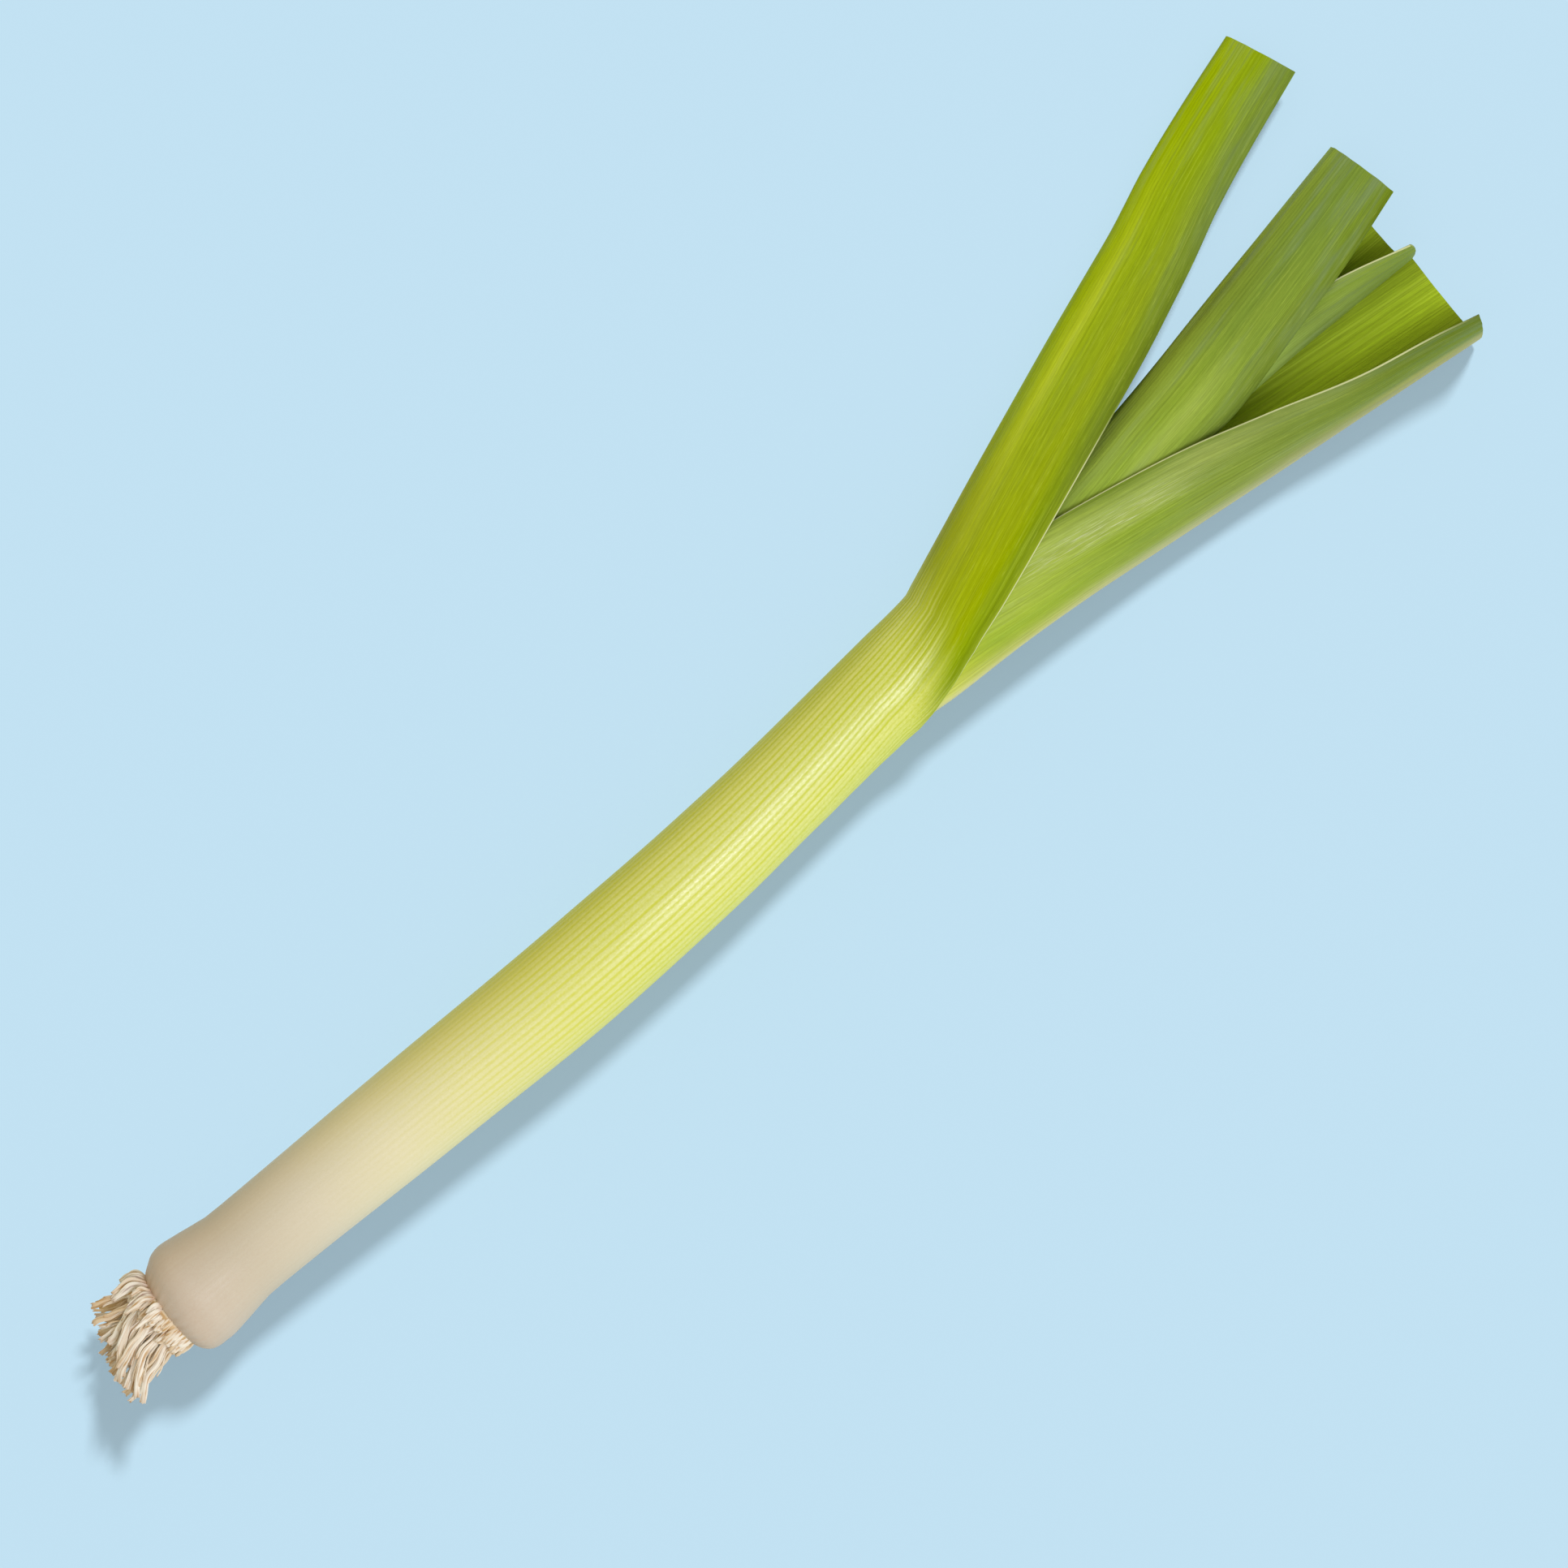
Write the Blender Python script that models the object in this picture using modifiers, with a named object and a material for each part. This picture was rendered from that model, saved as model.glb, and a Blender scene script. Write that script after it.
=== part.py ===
"""A trimmed leek lying on its side: nested leaves, the root plate and the root tuft.

The leek lies along X with its roots at -X and its cut leaves at +X. The ground is z = 0.
Driving dimensions are in millimetres, and MM turns them into metres.

A leaf is one open sheet given its thickness by Solidify. Low down the sheet is a closed tube, the
sheath. Above its mouth the tube opens on the side away from its keel and becomes a folded blade.
Every cross-section is two arcs of an ellipse that start at the keel: a front arm above it and a
back arm below it. The leaves alternate, keel to the left (+Y) and keel to the right (-Y).
"""

import math
import random

import bmesh
import bpy
from mathutils import Vector

MM = 0.001
LEFT = 1
RIGHT = -1

# The shaft: (position along X, value) pairs.
AXIS_SIDEWAYS = [(-245, 13.2), (-190, 8.1), (-133, 2.4), (-73, -3.4), (-13, -6.4), (25, -6.8), (80, -6.8)]
AXIS_HEIGHT = [(-236, 17.2), (-70, 16.4), (30, 15.3), (80, 15.3)]
SHAFT_RADIUS = [(-233.4, 11.6), (-231.8, 13.7), (-229.6, 15.4), (-227.2, 16.6), (-224, 17.1),
                (-218, 16.4), (-206, 14.8), (-190, 15.0), (-130, 15.8), (-70, 16.2), (-25, 15.6),
                (0, 15.1), (80, 15.1)]
SHEATH_ROWS = [-233.2, -231.6, -229.6, -227.2, -223.6, -218, -210, -195, -150, -100, -60, -20, 12]
NARROW_RADIUS = 15.1    # the shaft's radius where its leaves part

# The sheaths, from the outside in: thickness at the keel, and at the margins that meet opposite it.
KEEL_WALLS = [2.2, 2.1, 1.9, 1.8, 1.6, 1.5, 1.4]
MARGIN_WALL = 0.7
SHEATH_GAP = 0.4
TRIM_LENGTH = 30        # how far back from a cut end its trim reaches

# The leaves. keel, height and turn give the keel's place sideways, its height and the blade's
# direction in degrees; floor is the height of the lowest point of the section. reach is how far an
# arm runs sideways from the keel, rise how far it climbs, and sweep how far round it goes in
# degrees, 180 where the tube is closed. Each list starts where the leaf stops following the shaft.
# trim is how far the cut end stands forward at t, from the back margin at -1 to the front one at 1.
LEAVES = [
    {
        "name": "leaf_1_outer", "side": LEFT, "steps": 8,
        "colour": (0.50, 0.56, 0.14), "blade_wall": 1.15, "mouth": 38, "end": 254.6,
        "rows": [24, 38, 44, 52, 62, 72, 84, 98, 115, 135, 158, 182, 206, 231, 254.6],
        "keel": [(52, 8.2), (62, 8.0), (69, 8.1), (73, 9.2), (84, 12.4), (107, 19.1), (155, 32.5),
                 (175, 37.8), (190, 41.8), (200, 45.0), (207, 47.3), (227, 52.4), (254.6, 58.3)],
        "height": [(72, 15.3), (100, 13.9), (130, 10.4), (165, 6.6), (210, 4.4), (254.6, 3.6)],
        "floor": [(72, 0.2), (90, 0.0), (254.6, 0.0)],
        "turn": [(55, 0), (84, 10), (110, 15.5), (200, 16.5), (254.6, 15.5)],
        "trim": [(0, 0.9)],
        "reach": [(40, 30.6), (44, 30.9), (50, 30.5), (60, 28.7), (71, 26.2), (84, 26.7),
                  (120, 27.2), (155, 27.4), (190, 25.8), (254.6, 22.8)],
        "rise": [(72, 15.1), (95, 15.6), (120, 14.8), (155, 10.4), (200, 6.9), (254.6, 5.4)],
        "sweep": [(44, 166), (50, 152), (60, 136), (71, 120), (86, 106), (110, 98), (150, 92),
                  (190, 90)],
    },
    {
        "name": "leaf_2_right", "side": RIGHT, "steps": 8,
        "colour": (0.42, 0.52, 0.14), "blade_wall": 1.0, "mouth": 58, "end": 243.8,
        "rows": [24, 38, 48, 58, 66, 76, 90, 106, 124, 142, 162, 183, 204, 224, 243.8],
        "keel": [(40, -20.9), (50, -22.0), (59, -23.5), (83, -26.6), (107, -30.5), (131, -35.3),
                 (179, -45.1), (243.8, -58.4)],
        "height": [(83, 15.0), (110, 13.0), (137, 9.6), (178, 6.0), (209, 4.4), (243.8, 3.4)],
        "floor": [(70, 2.0), (95, 2.0), (118, 1.4), (140, 0.1), (160, 0.0), (243.8, 0.0)],
        "turn": [(45, 0), (83, -8), (131, -12), (243.8, -12)],
        "trim": [(-1, -2.2), (-0.35, 0.4), (0, 1.3), (1, 1.6)],
        "reach": [(40, 26.7), (50, 27.2), (60, 28.2), (76, 27.0), (110, 24.6), (137, 22.5),
                  (155, 20.4), (178, 16.1), (209, 9.9), (230, 8.0), (243.8, 6.0)],
        "rise": [(50, 13.3), (80, 13.3), (105, 14.4), (137, 14.9), (155, 16.2), (178, 18.9),
                 (209, 22.9), (243.8, 25.4)],
        "sweep": [(60, 176), (68, 158), (80, 138), (100, 116), (130, 100), (160, 92), (190, 80),
                  (215, 70), (243.8, 62)],
        "back_reach": [(40, 26.7), (50, 27.2), (60, 28.2), (80, 29.5), (110, 31.0), (137, 32.0),
                       (243.8, 33.5)],
        "back_sweep": [(60, 176), (68, 158), (80, 140), (100, 124), (130, 108), (160, 95), (190, 90)],
    },
    {
        "name": "leaf_3_left", "side": LEFT, "steps": 8,
        "colour": (0.36, 0.48, 0.16), "blade_wall": 1.15, "mouth": 112, "end": 252.6,
        "rows": [24, 48, 72, 94, 112, 122, 134, 148, 164, 182, 200, 218, 236, 252.6],
        "keel": [(50, 4.0), (60, 3.4), (75, 2.7), (100, 1.7), (130, 1.5), (155, 3.0), (190, 6.5),
                 (252.6, 12.7)],
        "height": [(70, 15.3), (100, 15.0), (130, 13.0), (155, 11.0), (200, 7.6), (252.6, 4.6)],
        "floor": [(60, 4.0), (110, 3.6), (140, 2.4), (165, 1.6), (200, 0.8), (225, 0.2), (252.6, 0.0)],
        "turn": [(60, 0), (120, 0), (155, 4), (200, 7.5), (252.6, 9.2)],
        "trim": [(-1, 0.6), (0, 1.5), (1, 0.4)],
        "reach": [(70, 22.6), (100, 22.2), (120, 23.2), (149, 24.8), (176, 27.5), (200, 26.4),
                  (224, 25.2), (252.6, 22.2)],
        "rise": [(50, 11.2), (70, 11.0), (105, 10.3), (150, 10.5), (176, 10.4), (200, 9.9),
                 (224, 9.9), (252.6, 8.6)],
        "sweep": [(118, 172), (126, 158), (140, 138), (155, 122), (176, 106), (200, 96), (225, 90)],
        "back_reach": [(70, 22.6), (100, 22.2), (120, 23.2), (149, 24.4), (176, 25.5), (200, 24.4),
                       (224, 23.2), (252.6, 20.4)],
    },
    {
        "name": "leaf_4_right", "side": RIGHT, "steps": 8,
        "colour": (0.34, 0.46, 0.16), "blade_wall": 0.8, "mouth": 140, "end": 246.6,
        "rows": [24, 48, 72, 94, 112, 126, 140, 150, 162, 176, 194, 210, 224, 236, 246.6],
        "keel": [(50, -17.6), (70, -18.3), (100, -18.9), (125, -19.8), (150, -20.8), (176, -21.7),
                 (200, -22.8), (224, -25.0), (246.6, -27.2)],
        "height": [(70, 15.3), (100, 15.0), (120, 14.0), (150, 11.6), (176, 9.2), (200, 6.8),
                   (224, 5.2), (246.6, 4.4)],
        "floor": [(60, 5.7), (110, 5.3), (140, 4.3), (155, 3.6), (200, 2.8), (246.6, 1.9)],
        "turn": [(60, 0), (110, -2), (150, -3), (200, -5), (246.6, -6)],
        "trim": [(-1, -2.0), (-0.5, -1.6), (0, 1.2), (0.75, 1.9), (1, 0.8)],
        "reach": [(70, 19.0), (100, 18.0), (140, 18.4), (160, 17.8), (176, 16.2), (200, 12.8),
                  (224, 9.2), (246.6, 3.0)],
        "rise": [(70, 9.4), (105, 8.7), (150, 8.6), (176, 8.7), (200, 8.4), (212, 8.5), (224, 9.8),
                 (246.6, 16.0)],
        "sweep": [(142, 176), (150, 160), (164, 136), (180, 116), (200, 100), (222, 84), (246.6, 66)],
        "back_reach": [(70, 19.0), (100, 18.0), (140, 18.6), (158, 18.4), (190, 17.0), (215, 17.6),
                       (246.6, 18.6)],
        "back_sweep": [(142, 176), (150, 160), (164, 136), (180, 116), (200, 100), (220, 90)],
    },
    {
        "name": "leaf_5_young", "side": LEFT, "steps": 6,
        "colour": (0.55, 0.64, 0.22), "blade_wall": 0.6, "mouth": 152, "end": 218,
        "rows": [24, 60, 94, 122, 140, 152, 162, 174, 188, 204, 218],
        "keel": [(50, 0.5), (70, -0.7), (100, -2.2), (130, -3.0), (150, -3.2), (175, 0.2),
                 (200, 3.2), (218, 4.6)],
        "height": [(70, 15.3), (100, 15.0), (130, 13.2), (150, 11.6), (175, 9.4), (200, 7.6),
                   (218, 6.6)],
        "floor": [(60, 7.3), (110, 6.9), (140, 6.2), (160, 5.6), (190, 4.8), (218, 5.0)],
        "turn": [(60, 0), (130, 0), (160, 3), (218, 6)],
        "reach": [(50, 15.9), (70, 15.4), (100, 14.4), (140, 15.0), (160, 15.4), (188, 12.0),
                  (204, 8.0), (218, 2.4)],
        "rise": [(70, 7.8), (105, 7.2), (150, 6.4), (176, 5.4), (200, 3.6), (218, 1.5)],
        "sweep": [(154, 172), (164, 150), (180, 120), (200, 96), (218, 90)],
    },
    {
        "name": "leaf_6_young", "side": RIGHT, "steps": 6,
        "colour": (0.64, 0.70, 0.28), "blade_wall": 0.6, "mouth": 178, "end": 178,
        "rows": [24, 60, 94, 122, 140, 154, 167, 178],
        "keel": [(50, -14.1), (70, -14.6), (100, -15.2), (130, -16.0), (154, -15.8), (178, -14.8)],
        "height": [(70, 15.3), (100, 15.0), (130, 13.4), (154, 11.5), (178, 10.0)],
        "floor": [(60, 8.8), (110, 8.5), (140, 7.8), (160, 7.5), (178, 8.4)],
        "turn": [(60, 0), (130, -2), (178, -2)],
        "reach": [(50, 12.8), (70, 12.0), (100, 11.1), (140, 10.6), (165, 7.4), (178, 3.0)],
        "rise": [(70, 6.3), (105, 5.7), (140, 4.9), (165, 3.3), (178, 1.6)],
        "sweep": [(178, 180)],
    },
    {
        "name": "leaf_7_young", "side": LEFT, "steps": 6,
        "colour": (0.72, 0.76, 0.34), "blade_wall": 0.6, "mouth": 166, "end": 166,
        "rows": [24, 60, 94, 122, 140, 154, 166],
        "keel": [(50, -2.6), (70, -3.9), (100, -5.3), (130, -6.9), (166, -9.0)],
        "height": [(70, 15.3), (100, 15.0), (130, 13.4), (166, 11.0)],
        "floor": [(60, 10.3), (110, 10.0), (140, 9.4), (166, 9.6)],
        "turn": [(60, 0), (166, -1)],
        "reach": [(50, 9.7), (70, 9.2), (100, 8.3), (130, 7.4), (154, 5.0), (166, 2.8)],
        "rise": [(70, 4.8), (105, 4.2), (130, 3.6), (154, 2.2), (166, 1.4)],
        "sweep": [(166, 180)],
    },
]

# The heart, a slim spear.
HEART_ROWS = [24, 60, 94, 118, 134, 148]
HEART_RADIUS = [(24, 3.4), (94, 2.5), (118, 2.0), (134, 1.4), (148, 0.5)]
HEART_SIDEWAYS = [(24, -7.3), (70, -8.5), (94, -9.4), (148, -10.7)]
HEART_HEIGHT = [(24, 15.3), (94, 15.1), (148, 12.4)]
HEART_SIDES = 12
HEART_COLOUR = (0.78, 0.80, 0.42)
LEAF_ROUGHNESS = 0.45

# The root plate and the roots.
PLATE_RADIUS = 11.2
PLATE_THICKNESS = 2.6
PLATE_RIM_ROUND = 0.7
ROOT_COUNT = 40
ROOT_LENGTH = 24.2
ROOT_RADIUS = 0.85
ROOT_TIP_SHARE = 0.6    # the tip's radius, as a share of the base's
ROOT_POINTS = 6
ROOT_FAN_LEFT = 1.7     # how much wider the tips stand than the bases, on either side
ROOT_FAN_RIGHT = 1.2
ROOT_LEAN = 8.0         # how far the upper tips lean to the right, instead of fanning out
ROOT_LEAN_HEIGHT = 7.0  # how high over the axis a root starts to lean that far
ROOT_SWAY = 0.6         # how far a tip strays at random
ROOT_SHORTENING = 0.3   # how much shorter the leftmost roots are
ROOT_EDGE = 1.2         # from the outermost roots to the plate's edge
ROOT_SEED = 7
PLATE_COLOUR = (0.66, 0.54, 0.38)
ROOT_COLOUR = (0.74, 0.63, 0.45)
ROOT_ROUGHNESS = 0.85


def smooth_curve(keys):
    """Return a function through (x, value) keys that never overshoots between them."""
    if len(keys) == 1:
        return lambda x: keys[0][1]
    xs = [key[0] for key in keys]
    ys = [key[1] for key in keys]
    slopes = [(ys[i + 1] - ys[i]) / (xs[i + 1] - xs[i]) for i in range(len(xs) - 1)]
    tangents = [slopes[0]]
    for before, after in zip(slopes, slopes[1:]):
        same_way = before * after > 0
        tangents.append(2 * before * after / (before + after) if same_way else 0.0)
    tangents.append(slopes[-1])

    def value(x):
        x = min(max(x, xs[0]), xs[-1])
        i = 0
        while i < len(slopes) - 1 and x > xs[i + 1]:
            i += 1
        width = xs[i + 1] - xs[i]
        u = (x - xs[i]) / width
        rise = u * u * (3 - 2 * u)
        lead = u * (1 - u) * (1 - u) * tangents[i]
        trail = u * u * (1 - u) * tangents[i + 1]
        return ys[i] + rise * (ys[i + 1] - ys[i]) + width * (lead - trail)

    return value


axis_sideways = smooth_curve(AXIS_SIDEWAYS)
axis_height = smooth_curve(AXIS_HEIGHT)
shaft_radius = smooth_curve(SHAFT_RADIUS)


def axis_turn(x):
    """Return the direction of the shaft's axis at x, in degrees away from +X."""
    return math.degrees(math.atan2(axis_sideways(x + 1) - axis_sideways(x - 1), 2))


def shaft_slope_cosine(x):
    """Return the cosine of the slope of the shaft's side, which is small where the bulb closes in."""
    return 1 / math.hypot(1, (shaft_radius(x + 0.5) - shaft_radius(x - 0.5)))


def sheath_layers():
    """Return (radius, sideways shift) of every sheath, as shares of the shaft's radius."""
    radius = NARROW_RADIUS
    shift = 0.0
    layers = [(1.0, 0.0)]
    for index, keel_wall in enumerate(KEEL_WALLS):
        keel_side = LEFT if index % 2 == 0 else RIGHT
        radius -= (keel_wall + MARGIN_WALL) / 2 + SHEATH_GAP
        shift -= keel_side * (keel_wall - MARGIN_WALL) / 2
        layers.append((radius / NARROW_RADIUS, shift / NARROW_RADIUS))
    return layers


class LeafShape:
    """The outer surface and the wall thickness of one leaf."""

    def __init__(self, leaf, layer, keel_wall):
        self.leaf = leaf
        self.side = leaf["side"]
        self.radius_share, self.shift_share = layer
        self.keel_wall = keel_wall
        self.profiles = {name: self.follow(name, leaf[name]) for name in
                         ("keel", "height", "floor", "turn", "reach", "rise", "sweep")}
        for name in ("reach", "sweep"):
            keys = leaf.get("back_" + name)
            self.profiles["back_" + name] = self.follow(name, keys) if keys else self.profiles[name]
        self.trim = smooth_curve(leaf.get("trim", [(0, 0.0)]))

    def sheath_value(self, name, x):
        """Return a section value of the closed sheath inside the shaft."""
        radius = self.radius_share * shaft_radius(x)
        centre = axis_sideways(x) + self.shift_share * shaft_radius(x)
        values = {"keel": centre + self.side * radius, "height": axis_height(x),
                  "floor": axis_height(x) - radius, "turn": axis_turn(x), "reach": 2 * radius,
                  "rise": radius, "sweep": 180.0}
        return values[name]

    def follow(self, name, keys):
        """Join the sheath's value to the keys of the blade with one smooth curve."""
        start = SHEATH_ROWS[-1]
        lead_in = [(x, self.sheath_value(name, x)) for x in (start - 25, start, start + 12)]
        curve = smooth_curve(lead_in + [key for key in keys if key[0] > start + 12])
        return lambda x: self.sheath_value(name, x) if x <= start else curve(x)

    def frame(self, x):
        """Return the keel's point and the section's sideways direction, towards the keel."""
        turn = math.radians(self.profiles["turn"](x))
        outward = Vector((-math.sin(turn), math.cos(turn), 0)) * self.side
        keel = Vector((x, self.profiles["keel"](x), self.profiles["height"](x)))
        if x <= SHEATH_ROWS[-1]:
            radius = self.radius_share * shaft_radius(x)
            shift = self.shift_share * shaft_radius(x)
            across = outward * self.side
            centre = Vector((x, axis_sideways(x), axis_height(x))) + across * shift
            keel = centre + outward * radius
        return keel, outward

    def point(self, x, t):
        """Return the point of the outer surface: t is -1 at the back margin and 1 at the front one."""
        keel, outward = self.frame(x)
        back = "back_" if t < 0 else ""
        reach = self.profiles[back + "reach"](x)
        sweep = math.radians(self.profiles[back + "sweep"](x))
        rise = self.profiles["rise"](x)
        if t < 0:
            rise = self.profiles["floor"](x) - self.profiles["height"](x)
        angle = abs(t) * sweep
        inward = reach * (1 - math.cos(angle)) / (1 - math.cos(sweep))
        forward = Vector((outward.y, -outward.x, 0)) * self.side
        trim = self.trim(t) * max((x - self.leaf["end"]) / TRIM_LENGTH + 1, 0)
        return keel - outward * inward + forward * trim + Vector((0, 0, rise * math.sin(angle)))

    def wall(self, x, t):
        """Return the thickness of the leaf, thick at its keel and thin at its margins."""
        scale = shaft_radius(x) / NARROW_RADIUS * shaft_slope_cosine(x)
        thinning = min(max((x - SHEATH_ROWS[-1]) / (self.leaf["end"] - SHEATH_ROWS[-1]), 0), 1)
        keel_wall = self.keel_wall + (self.leaf["blade_wall"] - self.keel_wall) * thinning
        margin_wall = min(MARGIN_WALL, keel_wall)
        mean = (keel_wall + margin_wall) / 2
        return scale * (mean + (keel_wall - margin_wall) / 2 * math.cos(math.pi * t))


def clear_scene():
    for scene_object in list(bpy.data.objects):
        bpy.data.objects.remove(scene_object, do_unlink=True)


def make_material(name, colour, roughness):
    material = bpy.data.materials.new(name)
    material.use_nodes = True
    shader = material.node_tree.nodes["Principled BSDF"]
    shader.inputs["Base Color"].default_value = (*colour, 1)
    shader.inputs["Roughness"].default_value = roughness
    shader.inputs["Metallic"].default_value = 0.0
    return material


def add_object(name, data, material, collection):
    part = bpy.data.objects.new(name, data)
    data.materials.append(material)
    collection.objects.link(part)
    return part


def make_leaf(shape, material, collection):
    """Loft one leaf's open sheet, closed along its seam up to the mouth, and thicken it."""
    leaf = shape.leaf
    rows = SHEATH_ROWS + leaf["rows"]
    steps = leaf["steps"]
    mesh = bpy.data.meshes.new(leaf["name"])
    grid = []
    sheet = bmesh.new()
    walls = {}
    for x in rows:
        closed = x <= leaf["mouth"]
        row = []
        for column in range(-steps, steps + 1):
            t = column / steps
            if closed and column == steps:
                row.append(row[0])
                continue
            vertex = sheet.verts.new(shape.point(x, t) * MM)
            walls[vertex] = shape.wall(x, t) * MM
            row.append(vertex)
        grid.append(row)
    for lower, upper in zip(grid, grid[1:]):
        for column in range(2 * steps):
            corners = [lower[column], upper[column], upper[column + 1], lower[column + 1]]
            sheet.faces.new(corners if leaf["side"] == RIGHT else corners[::-1])
    sheet.verts.index_update()
    thickest = max(walls.values())
    weights = {vertex.index: wall / thickest for vertex, wall in walls.items()}
    sheet.to_mesh(mesh)
    sheet.free()
    mesh.shade_smooth()
    part = add_object(leaf["name"], mesh, material, collection)
    group = part.vertex_groups.new(name="wall")
    for index, weight in weights.items():
        group.add([index], weight, "REPLACE")
    solidify = part.modifiers.new("thickness", "SOLIDIFY")
    solidify.thickness = thickest
    solidify.offset = -1
    solidify.vertex_group = group.name
    solidify.thickness_vertex_group = 0.0
    solidify.use_rim = True
    return part


def make_heart(layer, material, collection):
    """Loft the innermost rolled leaf, a slim solid spear with a round section."""
    radius_share, shift_share = layer
    blade_radius = smooth_curve(HEART_RADIUS)
    blade_sideways = smooth_curve(HEART_SIDEWAYS)
    blade_height = smooth_curve(HEART_HEIGHT)
    spear = bmesh.new()
    rings = []
    for x in SHEATH_ROWS + HEART_ROWS:
        in_shaft = x <= SHEATH_ROWS[-1]
        turn = math.radians(axis_turn(x))
        across = Vector((-math.sin(turn), math.cos(turn), 0))
        if in_shaft:
            radius = radius_share * shaft_radius(x)
            shift = shift_share * shaft_radius(x)
            centre = Vector((x, axis_sideways(x), axis_height(x))) + across * shift
        else:
            radius = blade_radius(x)
            centre = Vector((x, blade_sideways(x), blade_height(x)))
        ring = []
        for side in range(HEART_SIDES):
            angle = 2 * math.pi * side / HEART_SIDES
            offset = across * math.cos(angle) + Vector((0, 0, 1)) * math.sin(angle)
            ring.append(spear.verts.new((centre + offset * radius) * MM))
        rings.append(ring)
    for lower, upper in zip(rings, rings[1:]):
        for side in range(HEART_SIDES):
            beyond = (side + 1) % HEART_SIDES
            spear.faces.new([lower[side], lower[beyond], upper[beyond], upper[side]])
    spear.faces.new(rings[0])
    spear.faces.new(rings[-1][::-1])
    bmesh.ops.recalc_face_normals(spear, faces=spear.faces[:])
    mesh = bpy.data.meshes.new("leaf_8_heart")
    spear.to_mesh(mesh)
    spear.free()
    mesh.shade_smooth()
    return add_object("leaf_8_heart", mesh, material, collection)


def place_along_axis(part, x):
    """Stand a part made along +Z on the shaft's axis at x, with its +Z up the shaft."""
    turn = math.radians(axis_turn(x))
    direction = Vector((math.cos(turn), math.sin(turn), 0))
    part.location = Vector((x, axis_sideways(x), axis_height(x))) * MM
    part.rotation_euler = direction.to_track_quat("Z", "Y").to_euler()


def make_root_plate(material, collection):
    """Make the disc of stem under the leaf bases, with its rim rounded."""
    disc = bmesh.new()
    bmesh.ops.create_cone(disc, cap_ends=True, segments=24, radius1=PLATE_RADIUS * MM,
                          radius2=PLATE_RADIUS * MM, depth=PLATE_THICKNESS * MM)
    mesh = bpy.data.meshes.new("root_plate")
    disc.to_mesh(mesh)
    disc.free()
    mesh.shade_smooth()
    plate = add_object("root_plate", mesh, material, collection)
    place_along_axis(plate, SHEATH_ROWS[0] - SHEATH_GAP - PLATE_THICKNESS / 2)
    rim = plate.modifiers.new("rim", "BEVEL")
    rim.width = PLATE_RIM_ROUND * MM
    rim.segments = 2
    return plate


def root_bases():
    """Return where the roots leave the plate, packed like the seeds of a sunflower."""
    golden_angle = math.pi * (3 - math.sqrt(5))
    bases = []
    for index in range(ROOT_COUNT):
        distance = (PLATE_RADIUS - ROOT_EDGE) * math.sqrt((index + 0.5) / ROOT_COUNT)
        angle = index * golden_angle
        bases.append((distance * math.cos(angle), distance * math.sin(angle)))
    return bases


def make_root(name, base, sway, length, material, collection):
    """Run one root away from the leaves: the lower ones fan out, and the upper ones lean right."""
    start_x = SHEATH_ROWS[0] - 2 * SHEATH_GAP - PLATE_THICKNESS
    turn = math.radians(axis_turn(start_x))
    forward = Vector((math.cos(turn), math.sin(turn), 0))
    across = Vector((-math.sin(turn), math.cos(turn), 0))
    centre = Vector((start_x, axis_sideways(start_x), axis_height(start_x)))
    sideways, up = base
    rising = min(max(up / ROOT_LEAN_HEIGHT, 0), 1)
    leaning = rising * rising * (3 - 2 * rising)
    spread = (ROOT_FAN_LEFT - 1) * (1 - leaning) if sideways > 0 else ROOT_FAN_RIGHT - 1
    bend = sideways * spread - ROOT_LEAN * leaning + sway
    curve = bpy.data.curves.new(name, "CURVE")
    curve.dimensions = "3D"
    curve.bevel_depth = ROOT_RADIUS * MM
    curve.bevel_resolution = 1
    curve.use_fill_caps = True
    spline = curve.splines.new("POLY")
    spline.points.add(ROOT_POINTS - 1)
    for index, point in enumerate(spline.points):
        share = index / (ROOT_POINTS - 1)
        place = centre - forward * length * share + across * (sideways + bend * share * share)
        point.co = (*((place + Vector((0, 0, up))) * MM), 1)
        point.radius = 1 - (1 - ROOT_TIP_SHARE) * share
    return add_object(name, curve, material, collection)


def make_roots(material, collection):
    dice = random.Random(ROOT_SEED)
    for index, base in enumerate(root_bases()):
        leftness = max(base[0], 0) / PLATE_RADIUS
        length = ROOT_LENGTH * (1 - ROOT_SHORTENING * leftness) * dice.uniform(0.82, 1.0)
        sway = dice.uniform(-ROOT_SWAY, ROOT_SWAY)
        make_root("root_%02d" % (index + 1), base, sway, length, material, collection)


def main():
    clear_scene()
    collection = bpy.data.collections.new("leek")
    bpy.context.scene.collection.children.link(collection)
    layers = sheath_layers()
    for leaf, layer, keel_wall in zip(LEAVES, layers, KEEL_WALLS):
        shape = LeafShape(leaf, layer, keel_wall)
        make_leaf(shape, make_material(leaf["name"], leaf["colour"], LEAF_ROUGHNESS), collection)
    make_heart(layers[-1], make_material("leaf_8_heart", HEART_COLOUR, LEAF_ROUGHNESS), collection)
    make_root_plate(make_material("root_plate", PLATE_COLOUR, ROOT_ROUGHNESS), collection)
    make_roots(make_material("roots", ROOT_COLOUR, ROOT_ROUGHNESS), collection)


main()
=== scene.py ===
"""Studio scene of a leek lying on its side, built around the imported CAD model.

Every CAD node is replaced by a finer piece that follows the same design: the leaves get their ribs,
veins, pale margins and cut ends, the root plate its knobs, and the roots become dry, flattened strands.
Lengths in the tables are millimetres, and MM turns them into metres.
"""

import math
import random

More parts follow.
